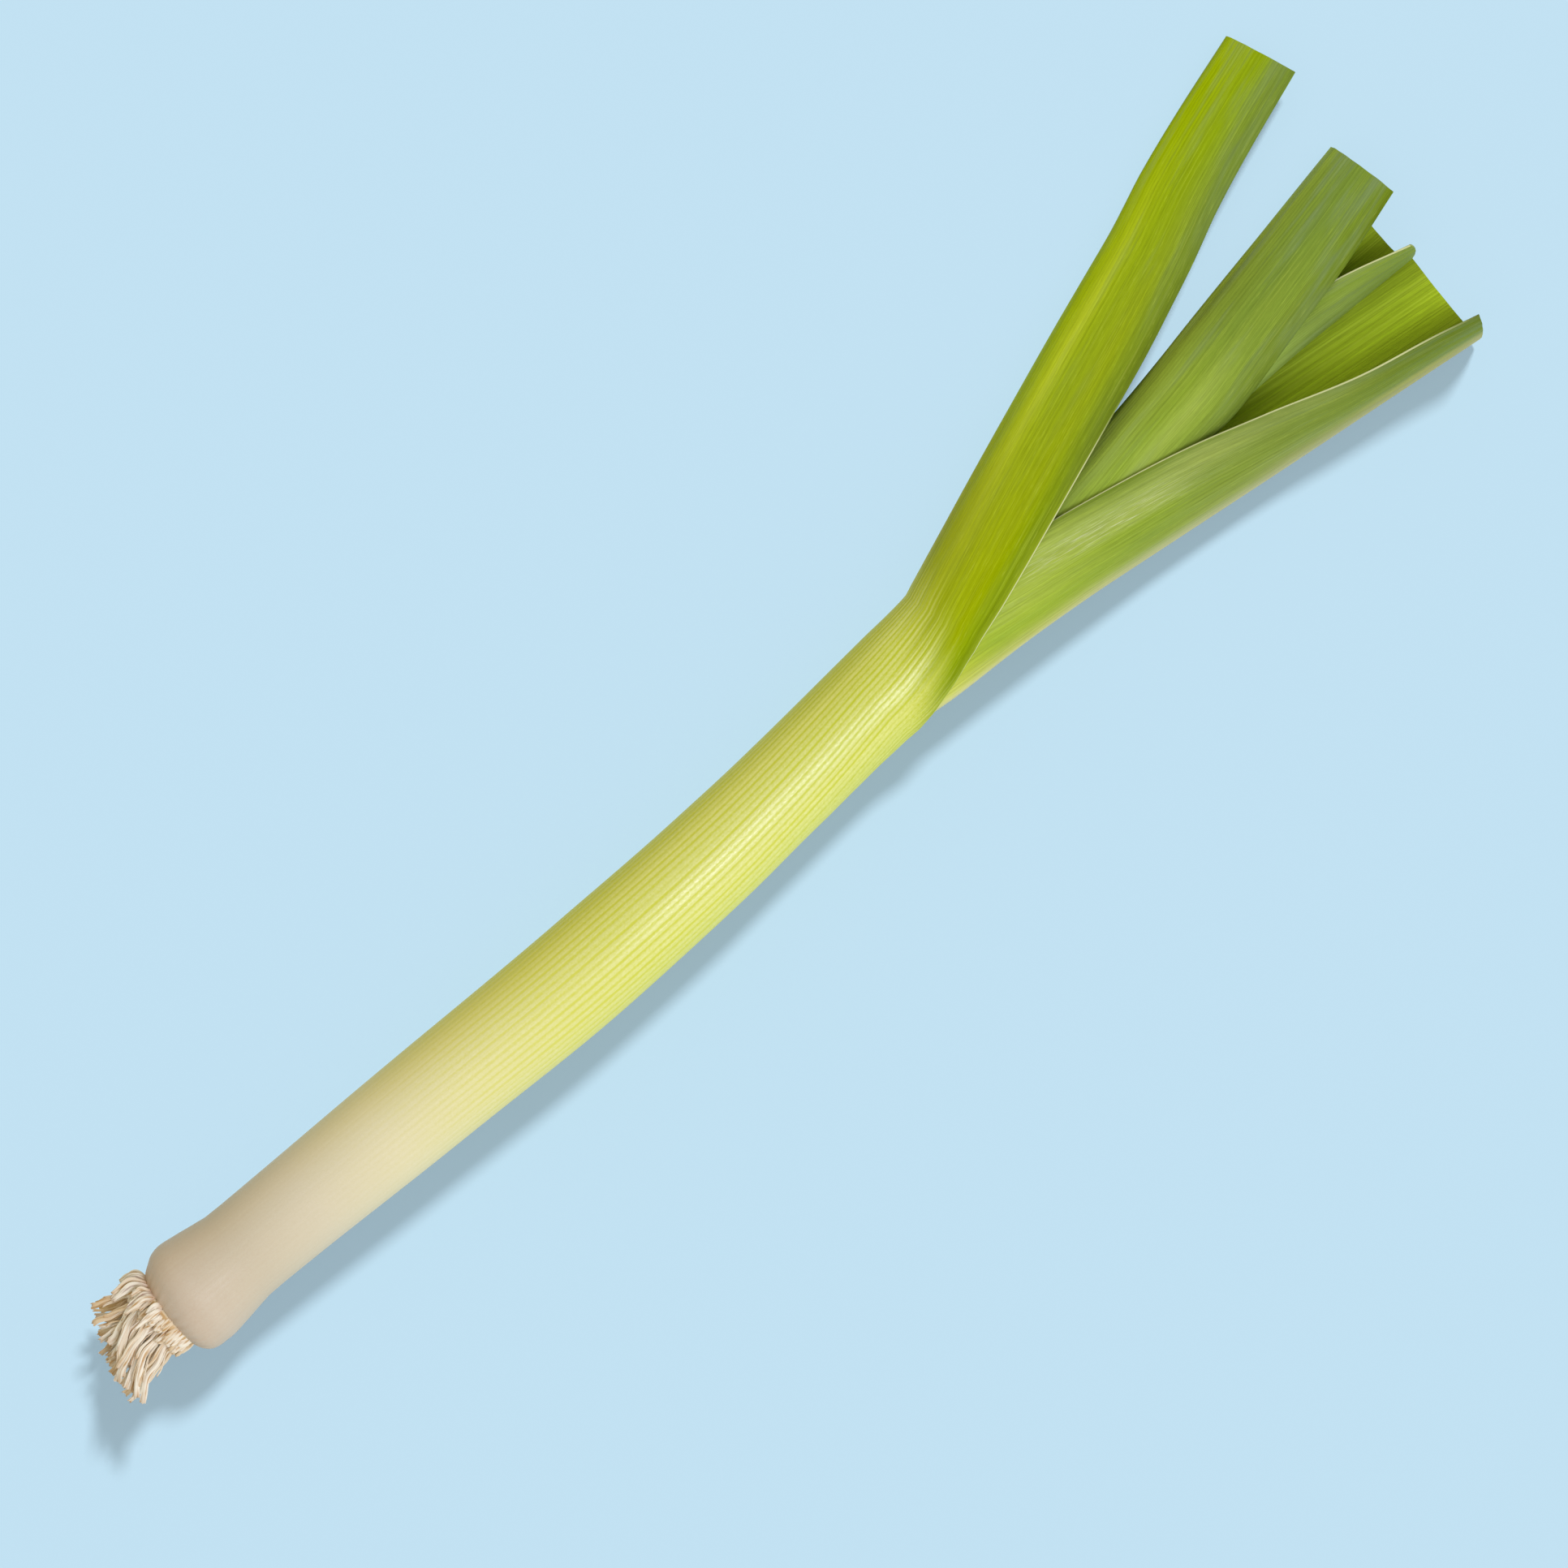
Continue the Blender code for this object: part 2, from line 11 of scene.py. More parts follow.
import bpy
import numpy as np
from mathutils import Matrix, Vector


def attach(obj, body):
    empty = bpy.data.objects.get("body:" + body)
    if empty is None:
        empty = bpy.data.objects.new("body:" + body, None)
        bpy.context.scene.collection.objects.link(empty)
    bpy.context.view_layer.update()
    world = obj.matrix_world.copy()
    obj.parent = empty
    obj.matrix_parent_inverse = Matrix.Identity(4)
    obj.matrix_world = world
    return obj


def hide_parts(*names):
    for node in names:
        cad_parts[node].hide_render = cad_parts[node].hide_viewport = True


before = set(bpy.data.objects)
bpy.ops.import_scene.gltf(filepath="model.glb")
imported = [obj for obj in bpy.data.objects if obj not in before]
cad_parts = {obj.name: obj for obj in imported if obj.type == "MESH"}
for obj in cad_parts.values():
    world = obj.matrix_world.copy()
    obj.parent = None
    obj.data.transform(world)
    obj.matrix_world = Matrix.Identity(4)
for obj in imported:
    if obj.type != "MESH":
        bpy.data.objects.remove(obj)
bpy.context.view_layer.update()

MM = 0.001
LEFT = 1
RIGHT = -1

# The shaft: (position along X, value) pairs.
AXIS_SIDEWAYS = [(-245, 13.2), (-190, 8.1), (-133, 2.4), (-73, -3.4), (-13, -6.4), (25, -6.8), (80, -6.8)]
AXIS_HEIGHT = [(-236, 17.2), (-70, 16.4), (30, 15.3), (80, 15.3)]
SHAFT_RADIUS = [(-233.4, 11.6), (-231.8, 13.7), (-229.6, 15.4), (-227.2, 16.6), (-224, 17.1),
                (-218, 16.4), (-206, 14.8), (-190, 15.0), (-130, 15.8), (-70, 16.2), (-25, 15.6),
                (0, 15.1), (80, 15.1)]
SHEATH_START = -233.2
SHEATH_END = 12
BULB_END = -214         # where the bulb's swelling has passed
NARROW_RADIUS = 15.1
KEEL_WALLS = [2.2, 2.1, 1.9, 1.8, 1.6, 1.5, 1.4]
MARGIN_WALL = 0.7
SHEATH_GAP = 0.4
TRIM_LENGTH = 30        # how far back from a cut end its trim reaches
RIBS = 48               # round a whole sheath, and so 24 in each half of a blade
SURFACE_CLEARANCE = 0.02
MARGIN_PROUD = 0.45     # how far a rounded margin stands out, as a share of the wall
BULB_OVERHANG = 1.4     # how far the bulb hangs over the roots on its right

# The heart, a slim spear.
HEART_RADIUS = [(24, 3.4), (94, 2.5), (118, 2.0), (134, 1.4), (148, 0.5)]
HEART_SIDEWAYS = [(24, -7.3), (70, -8.5), (94, -9.4), (148, -10.7)]
HEART_HEIGHT = [(24, 15.3), (94, 15.1), (148, 12.4)]

# The root plate and the roots.
PLATE_RADIUS = 11.2
PLATE_THICKNESS = 2.6
ROOT_COUNT = 40
ROOT_LENGTH = 24.2
ROOT_FAN_LEFT = 1.7     # how much wider the tips stand than the bases, on either side
ROOT_FAN_RIGHT = 1.2
ROOT_LEAN = 8.0         # how far the upper tips lean to the right, instead of fanning out
ROOT_LEAN_HEIGHT = 7.0  # how high over the axis a root starts to lean that far
ROOT_SWAY = 0.6
ROOT_SHORTENING = 0.4   # the share of its length that a root at the far left lacks; 0.3 in the CAD
ROOT_EDGE = 1.2         # the rim of the plate that is free of roots
ROOT_SEED = 7

# The leaves. Each profile has (position along X, value) keys and takes over where the sheath ends:
# keel and height place the fold, turn is the blade's direction in degrees, reach is how far a margin
# lies from the fold, rise how far the front half stands over the fold, floor the height of the back
# half's underside, and sweep the degrees that a half spans, 180 where the leaf is closed. A back_
# profile is the back half's own, and trim is how far the cut end goes past "end", over -1 to 1.
LEAVES = [
    {
        "name": "leaf_1_outer", "piece": "outer_leaf", "side": LEFT, "steps": 144,
        "blade_wall": 1.15, "mouth": 38, "end": 254.6,
        "keel": [(52, 8.2), (62, 8.0), (69, 8.1), (73, 9.2), (84, 12.4), (107, 19.1), (155, 32.5),
                 (175, 37.8), (190, 41.8), (200, 45.0), (207, 47.3), (227, 52.4), (254.6, 58.3)],
        "height": [(72, 15.3), (100, 13.9), (130, 10.4), (165, 6.6), (210, 4.4), (254.6, 3.6)],
        "floor": [(72, 0.2), (90, 0.0), (254.6, 0.0)],
        "turn": [(55, 0), (84, 10), (110, 15.5), (200, 16.5), (254.6, 15.5)],
        "trim": [(0, 0.9)],
        "reach": [(40, 30.6), (44, 30.9), (50, 30.5), (60, 28.7), (71, 26.2), (84, 26.7),
                  (120, 27.2), (155, 27.4), (190, 25.8), (254.6, 22.8)],
        "rise": [(72, 15.1), (95, 15.6), (120, 14.8), (155, 10.4), (200, 6.9), (254.6, 5.4)],
        "sweep": [(38, 180), (44, 166), (50, 152), (60, 136), (71, 120), (86, 106), (110, 98), (150, 92),
                  (190, 90)],
        "vein_sweep": [(-60, 180), (-20, 178), (10, 171), (38, 156), (50, 146), (60, 135), (71, 120)],
    },
    {
        "name": "leaf_2_right", "piece": "right_leaf", "side": RIGHT, "steps": 144,
        "blade_wall": 1.0, "mouth": 58, "end": 243.8,
        "keel": [(40, -20.9), (50, -22.0), (59, -23.5), (83, -26.6), (107, -30.5), (131, -35.3),
                 (179, -45.1), (243.8, -58.4)],
        "height": [(83, 15.0), (110, 13.0), (137, 9.6), (178, 6.0), (209, 4.4), (243.8, 3.4)],
        "floor": [(70, 2.0), (95, 2.0), (118, 1.4), (140, 0.1), (160, 0.0), (243.8, 0.0)],
        "turn": [(45, 0), (83, -8), (131, -12), (243.8, -12)],
        "trim": [(-1, -2.2), (-0.35, 0.4), (0, 1.3), (1, 1.6)],
        "reach": [(40, 26.7), (50, 27.2), (60, 28.2), (76, 27.0), (110, 24.6), (137, 22.5),
                  (155, 20.4), (178, 16.1), (209, 9.9), (230, 8.0), (243.8, 6.0)],
        "rise": [(50, 13.3), (80, 13.3), (105, 14.4), (137, 14.9), (155, 16.2), (178, 18.9),
                 (209, 22.9), (243.8, 25.4)],
        "sweep": [(58, 180), (68, 158), (80, 138), (100, 116), (130, 100), (160, 92), (190, 80),
                  (215, 70), (243.8, 62)],
        "back_reach": [(40, 26.7), (50, 27.2), (60, 28.2), (80, 29.5), (110, 31.0), (137, 32.0),
                       (243.8, 33.5)],
        "back_sweep": [(58, 180), (68, 158), (80, 140), (100, 124), (130, 108), (160, 95), (190, 90)],
        "vein_sweep": [(0, 180), (38, 174), (58, 163), (68, 153), (80, 138)],
    },
    {
        "name": "leaf_3_left", "piece": "left_leaf", "side": LEFT, "steps": 132,
        "blade_wall": 1.15, "mouth": 112, "end": 252.6,
        "keel": [(50, 4.0), (60, 3.4), (75, 2.7), (100, 1.7), (130, 1.5), (155, 3.0), (190, 6.5),
                 (252.6, 12.7)],
        "height": [(70, 15.3), (100, 15.0), (130, 13.0), (155, 11.0), (200, 7.6), (252.6, 4.6)],
        # Up to 0.3 mm above the CAD leaf's, to stay clear of the wavy margin of leaf 2 below it.
        "floor": [(60, 4.0), (110, 3.6), (140, 2.4), (165, 1.7), (200, 1.1), (225, 0.3), (252.6, 0.0)],
        "turn": [(60, 0), (120, 0), (155, 4), (200, 7.5), (252.6, 9.2)],
        "trim": [(-1, 0.6), (0, 1.5), (1, 0.4)],
        "reach": [(70, 22.6), (100, 22.2), (120, 23.2), (149, 24.8), (176, 27.5), (200, 26.4),
                  (224, 25.2), (252.6, 22.2)],
        "rise": [(50, 11.2), (70, 11.0), (105, 10.3), (150, 10.5), (176, 10.4), (200, 9.9),
                 (224, 9.9), (252.6, 8.6)],
        "sweep": [(112, 180), (118, 172), (126, 158), (140, 138), (155, 122), (176, 106), (200, 96),
                  (225, 90)],
        "back_reach": [(70, 22.6), (100, 22.2), (120, 23.2), (149, 24.4), (176, 25.5), (200, 24.4),
                       (224, 23.2), (252.6, 20.4)],
    },
    {
        "name": "leaf_4_right", "piece": "fourth_leaf", "side": RIGHT, "steps": 108,
        "blade_wall": 0.8, "mouth": 140, "end": 246.6,
        "keel": [(50, -17.6), (70, -18.3), (100, -18.9), (125, -19.8), (150, -20.8), (176, -21.7),
                 (200, -22.8), (224, -25.0), (246.6, -27.2)],
        "height": [(70, 15.3), (100, 15.0), (120, 14.0), (150, 11.6), (176, 9.2), (200, 6.8),
                   (224, 5.2), (246.6, 4.4)],
        "floor": [(60, 5.7), (110, 5.3), (140, 4.3), (155, 3.6), (200, 2.8), (246.6, 1.9)],
        "turn": [(60, 0), (110, -2), (150, -3), (200, -5), (246.6, -6)],
        "trim": [(-1, -2.0), (-0.5, -1.6), (0, 1.2), (0.75, 1.9), (1, 0.8)],
        "reach": [(70, 19.0), (100, 18.0), (140, 18.4), (160, 17.8), (176, 16.2), (200, 12.8),
                  (224, 9.2), (246.6, 3.0)],
        "rise": [(70, 9.4), (105, 8.7), (150, 8.6), (176, 8.7), (200, 8.4), (212, 8.5), (224, 9.8),
                 (246.6, 16.0)],
        "sweep": [(140, 180), (150, 160), (164, 136), (180, 116), (200, 100), (222, 84), (246.6, 66)],
        "back_reach": [(70, 19.0), (100, 18.0), (140, 18.4), (158, 18.4), (190, 17.0), (215, 17.6),
                       (246.6, 18.6)],
        "back_sweep": [(140, 180), (150, 160), (164, 136), (180, 116), (200, 100), (220, 90)],
    },
    {
        "name": "leaf_5_young", "piece": "young_leaf_5", "side": LEFT, "steps": 48,
        "blade_wall": 0.6, "mouth": 152, "end": 218,
        "keel": [(50, 0.5), (70, -0.7), (100, -2.2), (130, -3.0), (150, -3.2), (175, 0.2),
                 (200, 3.2), (218, 4.6)],
        "height": [(70, 15.3), (100, 15.0), (130, 13.2), (150, 11.6), (175, 9.4), (200, 7.6),
                   (218, 6.6)],
        "floor": [(60, 7.3), (110, 6.9), (140, 6.2), (160, 5.6), (190, 4.8), (218, 5.0)],
        "turn": [(60, 0), (130, 0), (160, 3), (218, 6)],
        "reach": [(50, 15.9), (70, 15.4), (100, 14.4), (140, 15.0), (160, 15.4), (188, 12.0),
                  (204, 8.0), (218, 2.4)],
        "rise": [(70, 7.8), (105, 7.2), (150, 6.4), (176, 5.4), (200, 3.6), (218, 1.5)],
        "sweep": [(152, 180), (164, 150), (180, 120), (200, 96), (218, 90)],
    },
    {
        "name": "leaf_6_young", "piece": "young_leaf_6", "side": RIGHT, "steps": 32,
        "blade_wall": 0.6, "mouth": 178, "end": 178,
        "keel": [(50, -14.1), (70, -14.6), (100, -15.2), (130, -16.0), (154, -15.8), (178, -14.8)],
        "height": [(70, 15.3), (100, 15.0), (130, 13.4), (154, 11.5), (178, 10.0)],
        "floor": [(60, 8.8), (110, 8.5), (140, 7.8), (160, 7.5), (178, 8.4)],
        "turn": [(60, 0), (130, -2), (178, -2)],
        "reach": [(50, 12.8), (70, 12.0), (100, 11.1), (140, 10.6), (165, 7.4), (178, 3.0)],
        "rise": [(70, 6.3), (105, 5.7), (140, 4.9), (165, 3.3), (178, 1.6)],
        "sweep": [(178, 180)],
    },
    {
        "name": "leaf_7_young", "piece": "young_leaf_7", "side": LEFT, "steps": 32,
        "blade_wall": 0.6, "mouth": 166, "end": 166,
        "keel": [(50, -2.6), (70, -3.9), (100, -5.3), (130, -6.9), (166, -9.0)],
        "height": [(70, 15.3), (100, 15.0), (130, 13.4), (166, 11.0)],
        "floor": [(60, 10.3), (110, 10.0), (140, 9.4), (166, 9.6)],
        "turn": [(60, 0), (166, -1)],
        "reach": [(50, 9.7), (70, 9.2), (100, 8.3), (130, 7.4), (154, 5.0), (166, 2.8)],
        "rise": [(70, 4.8), (105, 4.2), (130, 3.6), (154, 2.2), (166, 1.4)],
        "sweep": [(166, 180)],
    },
]


# ---------------------------------------------------------------- shapes


def smooth_curve(keys):
    """Return a function of an array, through (x, value) keys, that never overshoots between them."""
    xs = np.array([key[0] for key in keys], float)
    ys = np.array([key[1] for key in keys], float)
    if len(keys) == 1:
        return lambda x: np.full(np.shape(x), ys[0])
    slopes = np.diff(ys) / np.diff(xs)
    tangents = np.concatenate([slopes[:1], slopes])
    before, after = slopes[:-1], slopes[1:]
    same_way = before * after > 0
    tangents[1:-1] = np.where(same_way, 2 * before * after / np.where(same_way, before + after, 1), 0)
    tangents[-1] = slopes[-1]

    def value(x):
        x = np.clip(x, xs[0], xs[-1])
        i = np.clip(np.searchsorted(xs, x) - 1, 0, len(slopes) - 1)
        width = xs[i + 1] - xs[i]
        u = (x - xs[i]) / width
        lead = u * (1 - u) ** 2 * tangents[i]
        trail = u * u * (1 - u) * tangents[i + 1]
        return ys[i] + u * u * (3 - 2 * u) * (ys[i + 1] - ys[i]) + width * (lead - trail)

    return value


axis_sideways = smooth_curve(AXIS_SIDEWAYS)
axis_height = smooth_curve(AXIS_HEIGHT)
shaft_radius = smooth_curve(SHAFT_RADIUS)


def axis_turn(x):
    """The direction of the shaft's axis at x, in degrees away from +X."""
    return np.degrees(np.arctan2(axis_sideways(x + 1) - axis_sideways(x - 1), 2))


def smooth_step(low, high, x):
    """0 up to low and 1 from high, with an S between them."""
    u = np.clip((x - low) / (high - low), 0, 1)
    return u * u * (3 - 2 * u)


def hump(x, middle, width):
    """A bell curve of height 1."""
    return np.exp(-((x - middle) / width) ** 2)


def wander(x, seed, wavelengths):
    """A smooth random line along x, within about -1 to 1."""
    dice = random.Random(seed)
    total = 0
    for wavelength in wavelengths:
        total = total + np.sin(2 * math.pi * (x / wavelength + dice.random()))
    return total / len(wavelengths)


def sheath_layers():
    """Return (radius, sideways shift) of every sheath, as shares of the shaft's radius."""
    radius = NARROW_RADIUS
    shift = 0.0
    layers = [(1.0, 0.0)]
    for index, keel_wall in enumerate(KEEL_WALLS):
        keel_side = LEFT if index % 2 == 0 else RIGHT
        radius -= (keel_wall + MARGIN_WALL) / 2 + SHEATH_GAP
        shift -= keel_side * (keel_wall - MARGIN_WALL) / 2
        layers.append((radius / NARROW_RADIUS, shift / NARROW_RADIUS))
    return layers


class LeafShape:
    """One leaf as a grid of points, with rows along X and columns from back margin to front margin."""

    def __init__(self, leaf, layer, keel_wall):
        self.leaf = leaf
        self.side = leaf["side"]
        self.radius_share, self.shift_share = layer
        self.keel_wall = keel_wall
        self.profiles = {name: self.follow(name, leaf[name]) for name in
                         ("keel", "height", "floor", "turn", "reach", "rise", "sweep")}
        for name in ("reach", "sweep"):
            keys = leaf.get("back_" + name)
            self.profiles["back_" + name] = self.follow(name, keys) if keys else self.profiles[name]
        self.trim = smooth_curve(leaf.get("trim", [(0, 0.0)]))

    def sheath_value(self, name, x):
        """A section value of the closed sheath inside the shaft."""
        radius = self.radius_share * shaft_radius(x)
        centre = axis_sideways(x) + self.shift_share * shaft_radius(x)
        values = {"keel": centre + self.side * radius, "height": axis_height(x),
                  "floor": axis_height(x) - radius, "turn": axis_turn(x), "reach": 2 * radius,
                  "rise": radius, "sweep": 180.0 + 0 * x}
        return values[name]

    def follow(self, name, keys):
        """Join the sheath's value to the keys of the blade with one smooth curve."""
        lead_in = [(x, float(self.sheath_value(name, x))) for x in
                   (SHEATH_END - 25, SHEATH_END, SHEATH_END + 12)]
        curve = smooth_curve(lead_in + [key for key in keys if key[0] > SHEATH_END + 12])
        return lambda x: np.where(x <= SHEATH_END, self.sheath_value(name, x), curve(x))

    def surface(self, rows, columns):
        """The smooth outer surface: rows in millimetres along X, columns from -1 to 1 with 0 at the keel."""
        x, t = np.meshgrid(rows, columns, indexing="ij")
        value = {name: profile(rows)[:, None] for name, profile in self.profiles.items()}
        turn = np.radians(value["turn"])
        outward = np.stack([-np.sin(turn), np.cos(turn), 0 * turn], -1) * self.side
        in_sheath = rows <= SHEATH_END
        keel = np.stack([x, value["keel"] + 0 * x, value["height"] + 0 * x], -1)
        radius = self.radius_share * shaft_radius(rows)
        shift = self.shift_share * shaft_radius(rows)
        tube = np.stack([rows, axis_sideways(rows), axis_height(rows)], -1)[:, None, :]
        tube = tube + outward * (self.side * shift + radius)[:, None, None]
        keel = np.where(in_sheath[:, None, None], tube, keel)
        behind = t < 0
        reach = np.where(behind, value["back_reach"], value["reach"])
        sweep = np.radians(np.where(behind, value["back_sweep"], value["sweep"]))
        rise = np.where(behind, value["floor"] - value["height"], value["rise"])
        angle = np.abs(t) * sweep
        inward = reach * (1 - np.cos(angle)) / (1 - np.cos(sweep))
        forward = np.stack([outward[..., 1], -outward[..., 0], 0 * turn], -1) * self.side
        trim = self.trim(t) * np.maximum((x - self.leaf["end"]) / TRIM_LENGTH + 1, 0)
        points = keel - outward * inward[..., None] + forward * trim[..., None]
        points[..., 2] += rise * np.sin(angle)
        return points

    def wall(self, rows, columns):
        """The leaf's thickness, thick at its keel and thin at its margins."""
        slope = shaft_radius(rows + 0.5) - shaft_radius(rows - 0.5)
        scale = shaft_radius(rows) / NARROW_RADIUS / np.hypot(1, slope)
        thinning = np.clip((rows - SHEATH_END) / (self.leaf["end"] - SHEATH_END), 0, 1)
        keel_wall = self.keel_wall + (self.leaf["blade_wall"] - self.keel_wall) * thinning
        margin_wall = np.minimum(MARGIN_WALL, keel_wall)
        mean = ((keel_wall + margin_wall) / 2)[:, None]
        half = ((keel_wall - margin_wall) / 2)[:, None]
        return scale[:, None] * (mean + half * np.cos(math.pi * columns)[None, :])

    def normals(self, points, closed_rows):
        """Unit normals of the smooth surface, pointing out of the leaf."""
        along = np.gradient(points, axis=0)
        across = np.gradient(points, axis=1)
        normal = np.cross(along, across) * -self.side
        normal /= np.linalg.norm(normal, axis=2, keepdims=True)
        seam = normal[:closed_rows, 0] + normal[:closed_rows, -1]
        seam /= np.linalg.norm(seam, axis=1, keepdims=True)
        normal[:closed_rows, 0] = seam
        normal[:closed_rows, -1] = seam
        return normal


def vein_numbers(leaf, shape, rows, columns):
    """t as the veins count it: round the shaft they turn towards the blade before the leaf opens."""
    share = np.ones(len(rows))
    keys = leaf.get("vein_sweep")
    if keys:
        before = rows < keys[-1][0]
        share[before] = (shape.profiles["sweep"](rows) / smooth_curve(keys)(rows))[before]
    return share[:, None] * columns[None, :]


def margin_distances(points):
    """How far each point is from the two margins along its row, in millimetres."""
    steps = np.linalg.norm(np.diff(points, axis=1), axis=2)
    from_back = np.concatenate([np.zeros((len(points), 1)), np.cumsum(steps, axis=1)], 1)
    return from_back[:, -1:] - from_back, from_back


def leaf_relief(leaf, rows, columns, veins):
    """How far the outer surface stands out of its smooth form, in millimetres."""
    x, t = np.meshgrid(rows, columns, indexing="ij")
    seed = len(leaf["piece"]) + int(leaf["end"])
    ribs = np.cos(math.pi * RIBS * veins)
    ribs = ribs * (0.75 + 0.35 * np.cos(math.pi * 14 * veins + 1.3) * np.cos(math.pi * 5 * veins))
    rib_height = 0.008 + 0.045 * smooth_step(-190, -60, x) * (1 - 0.65 * smooth_step(50, 90, x))
    open_share = smooth_step(leaf["mouth"] - 10, leaf["mouth"] + 60, x)
    folds = (wander(x + 400 * np.abs(t), seed, (310, 190)) * np.cos(math.pi * 5 * t)
             + 0.6 * wander(x, seed + 1, (140, 90)) * np.cos(math.pi * 9 * t + 1))
    waves = wander(x - 260 * t, seed + 2, (170, 95)) * smooth_step(0.6, 1, np.abs(t))
    sheath_waves = wander(x, seed + 3, (120, 70)) * np.cos(math.pi * 2 * t)
    relief = (rib_height * ribs + open_share * (0.22 * folds + 0.45 * waves)
              + 0.10 * sheath_waves * (1 - open_share))
    if leaf["name"] == "leaf_1_outer":
        # The bulb hangs over the roots on its right, and puckers round them.
        rightness = np.clip(-np.cos(math.pi * t), -0.3, 1)
        relief = relief + BULB_OVERHANG * rightness * hump(x, -230.4, 3.0)
        puckers = (np.cos(math.pi * 31 * t + 1.2 * np.sin(7 * t)) + 0.7 * np.cos(math.pi * 19 * t + 2))
        relief = relief + 0.11 * puckers * smooth_step(-227, -233, x)
    return relief


def leaf_rows(leaf):
    """Row positions along X: fine where the leaf shows and bends, coarse where it is hidden."""
    mouth, end = leaf["mouth"], leaf["end"]
    if leaf["name"] == "leaf_1_outer":
        spans = [(SHEATH_START, BULB_END, 0.9), (BULB_END, 20, 6.0), (20, 100, 1.8), (100, end, 3.6)]
    else:
        first = max(mouth - 30, 20)
        past_mouth = min(mouth + 20, end)
        spans = [(SHEATH_START, BULB_END, 4.0), (BULB_END, first, 12.0), (first, past_mouth, 2.0),
                 (past_mouth, end, 2.6)]
    rows = [SHEATH_START]
    for low, high, step in spans:
        if high > low:
            count = max(1, math.ceil((high - low) / step))
            rows += list(np.linspace(low, high, count + 1)[1:])
    rows = [x for x in rows if abs(x - mouth) > 0.5 or x == end] + ([mouth] if mouth < end else [])
    return np.array(sorted(rows))


class MeshParts:
    """Faces gathered with a material slot each and, at each corner, the numbers of its attributes."""

    def __init__(self):
        self.faces = []
        self.places = []
        self.slots = []

    def add(self, corners, places, slot, flipped):
        if flipped:
            corners = corners[::-1]
            places = places[::-1]
        self.faces.append(corners)
        self.places.append(places)
        self.slots.append(slot)


OUTER_SLOT, INNER_SLOT, CUT_SLOT = 0, 1, 2


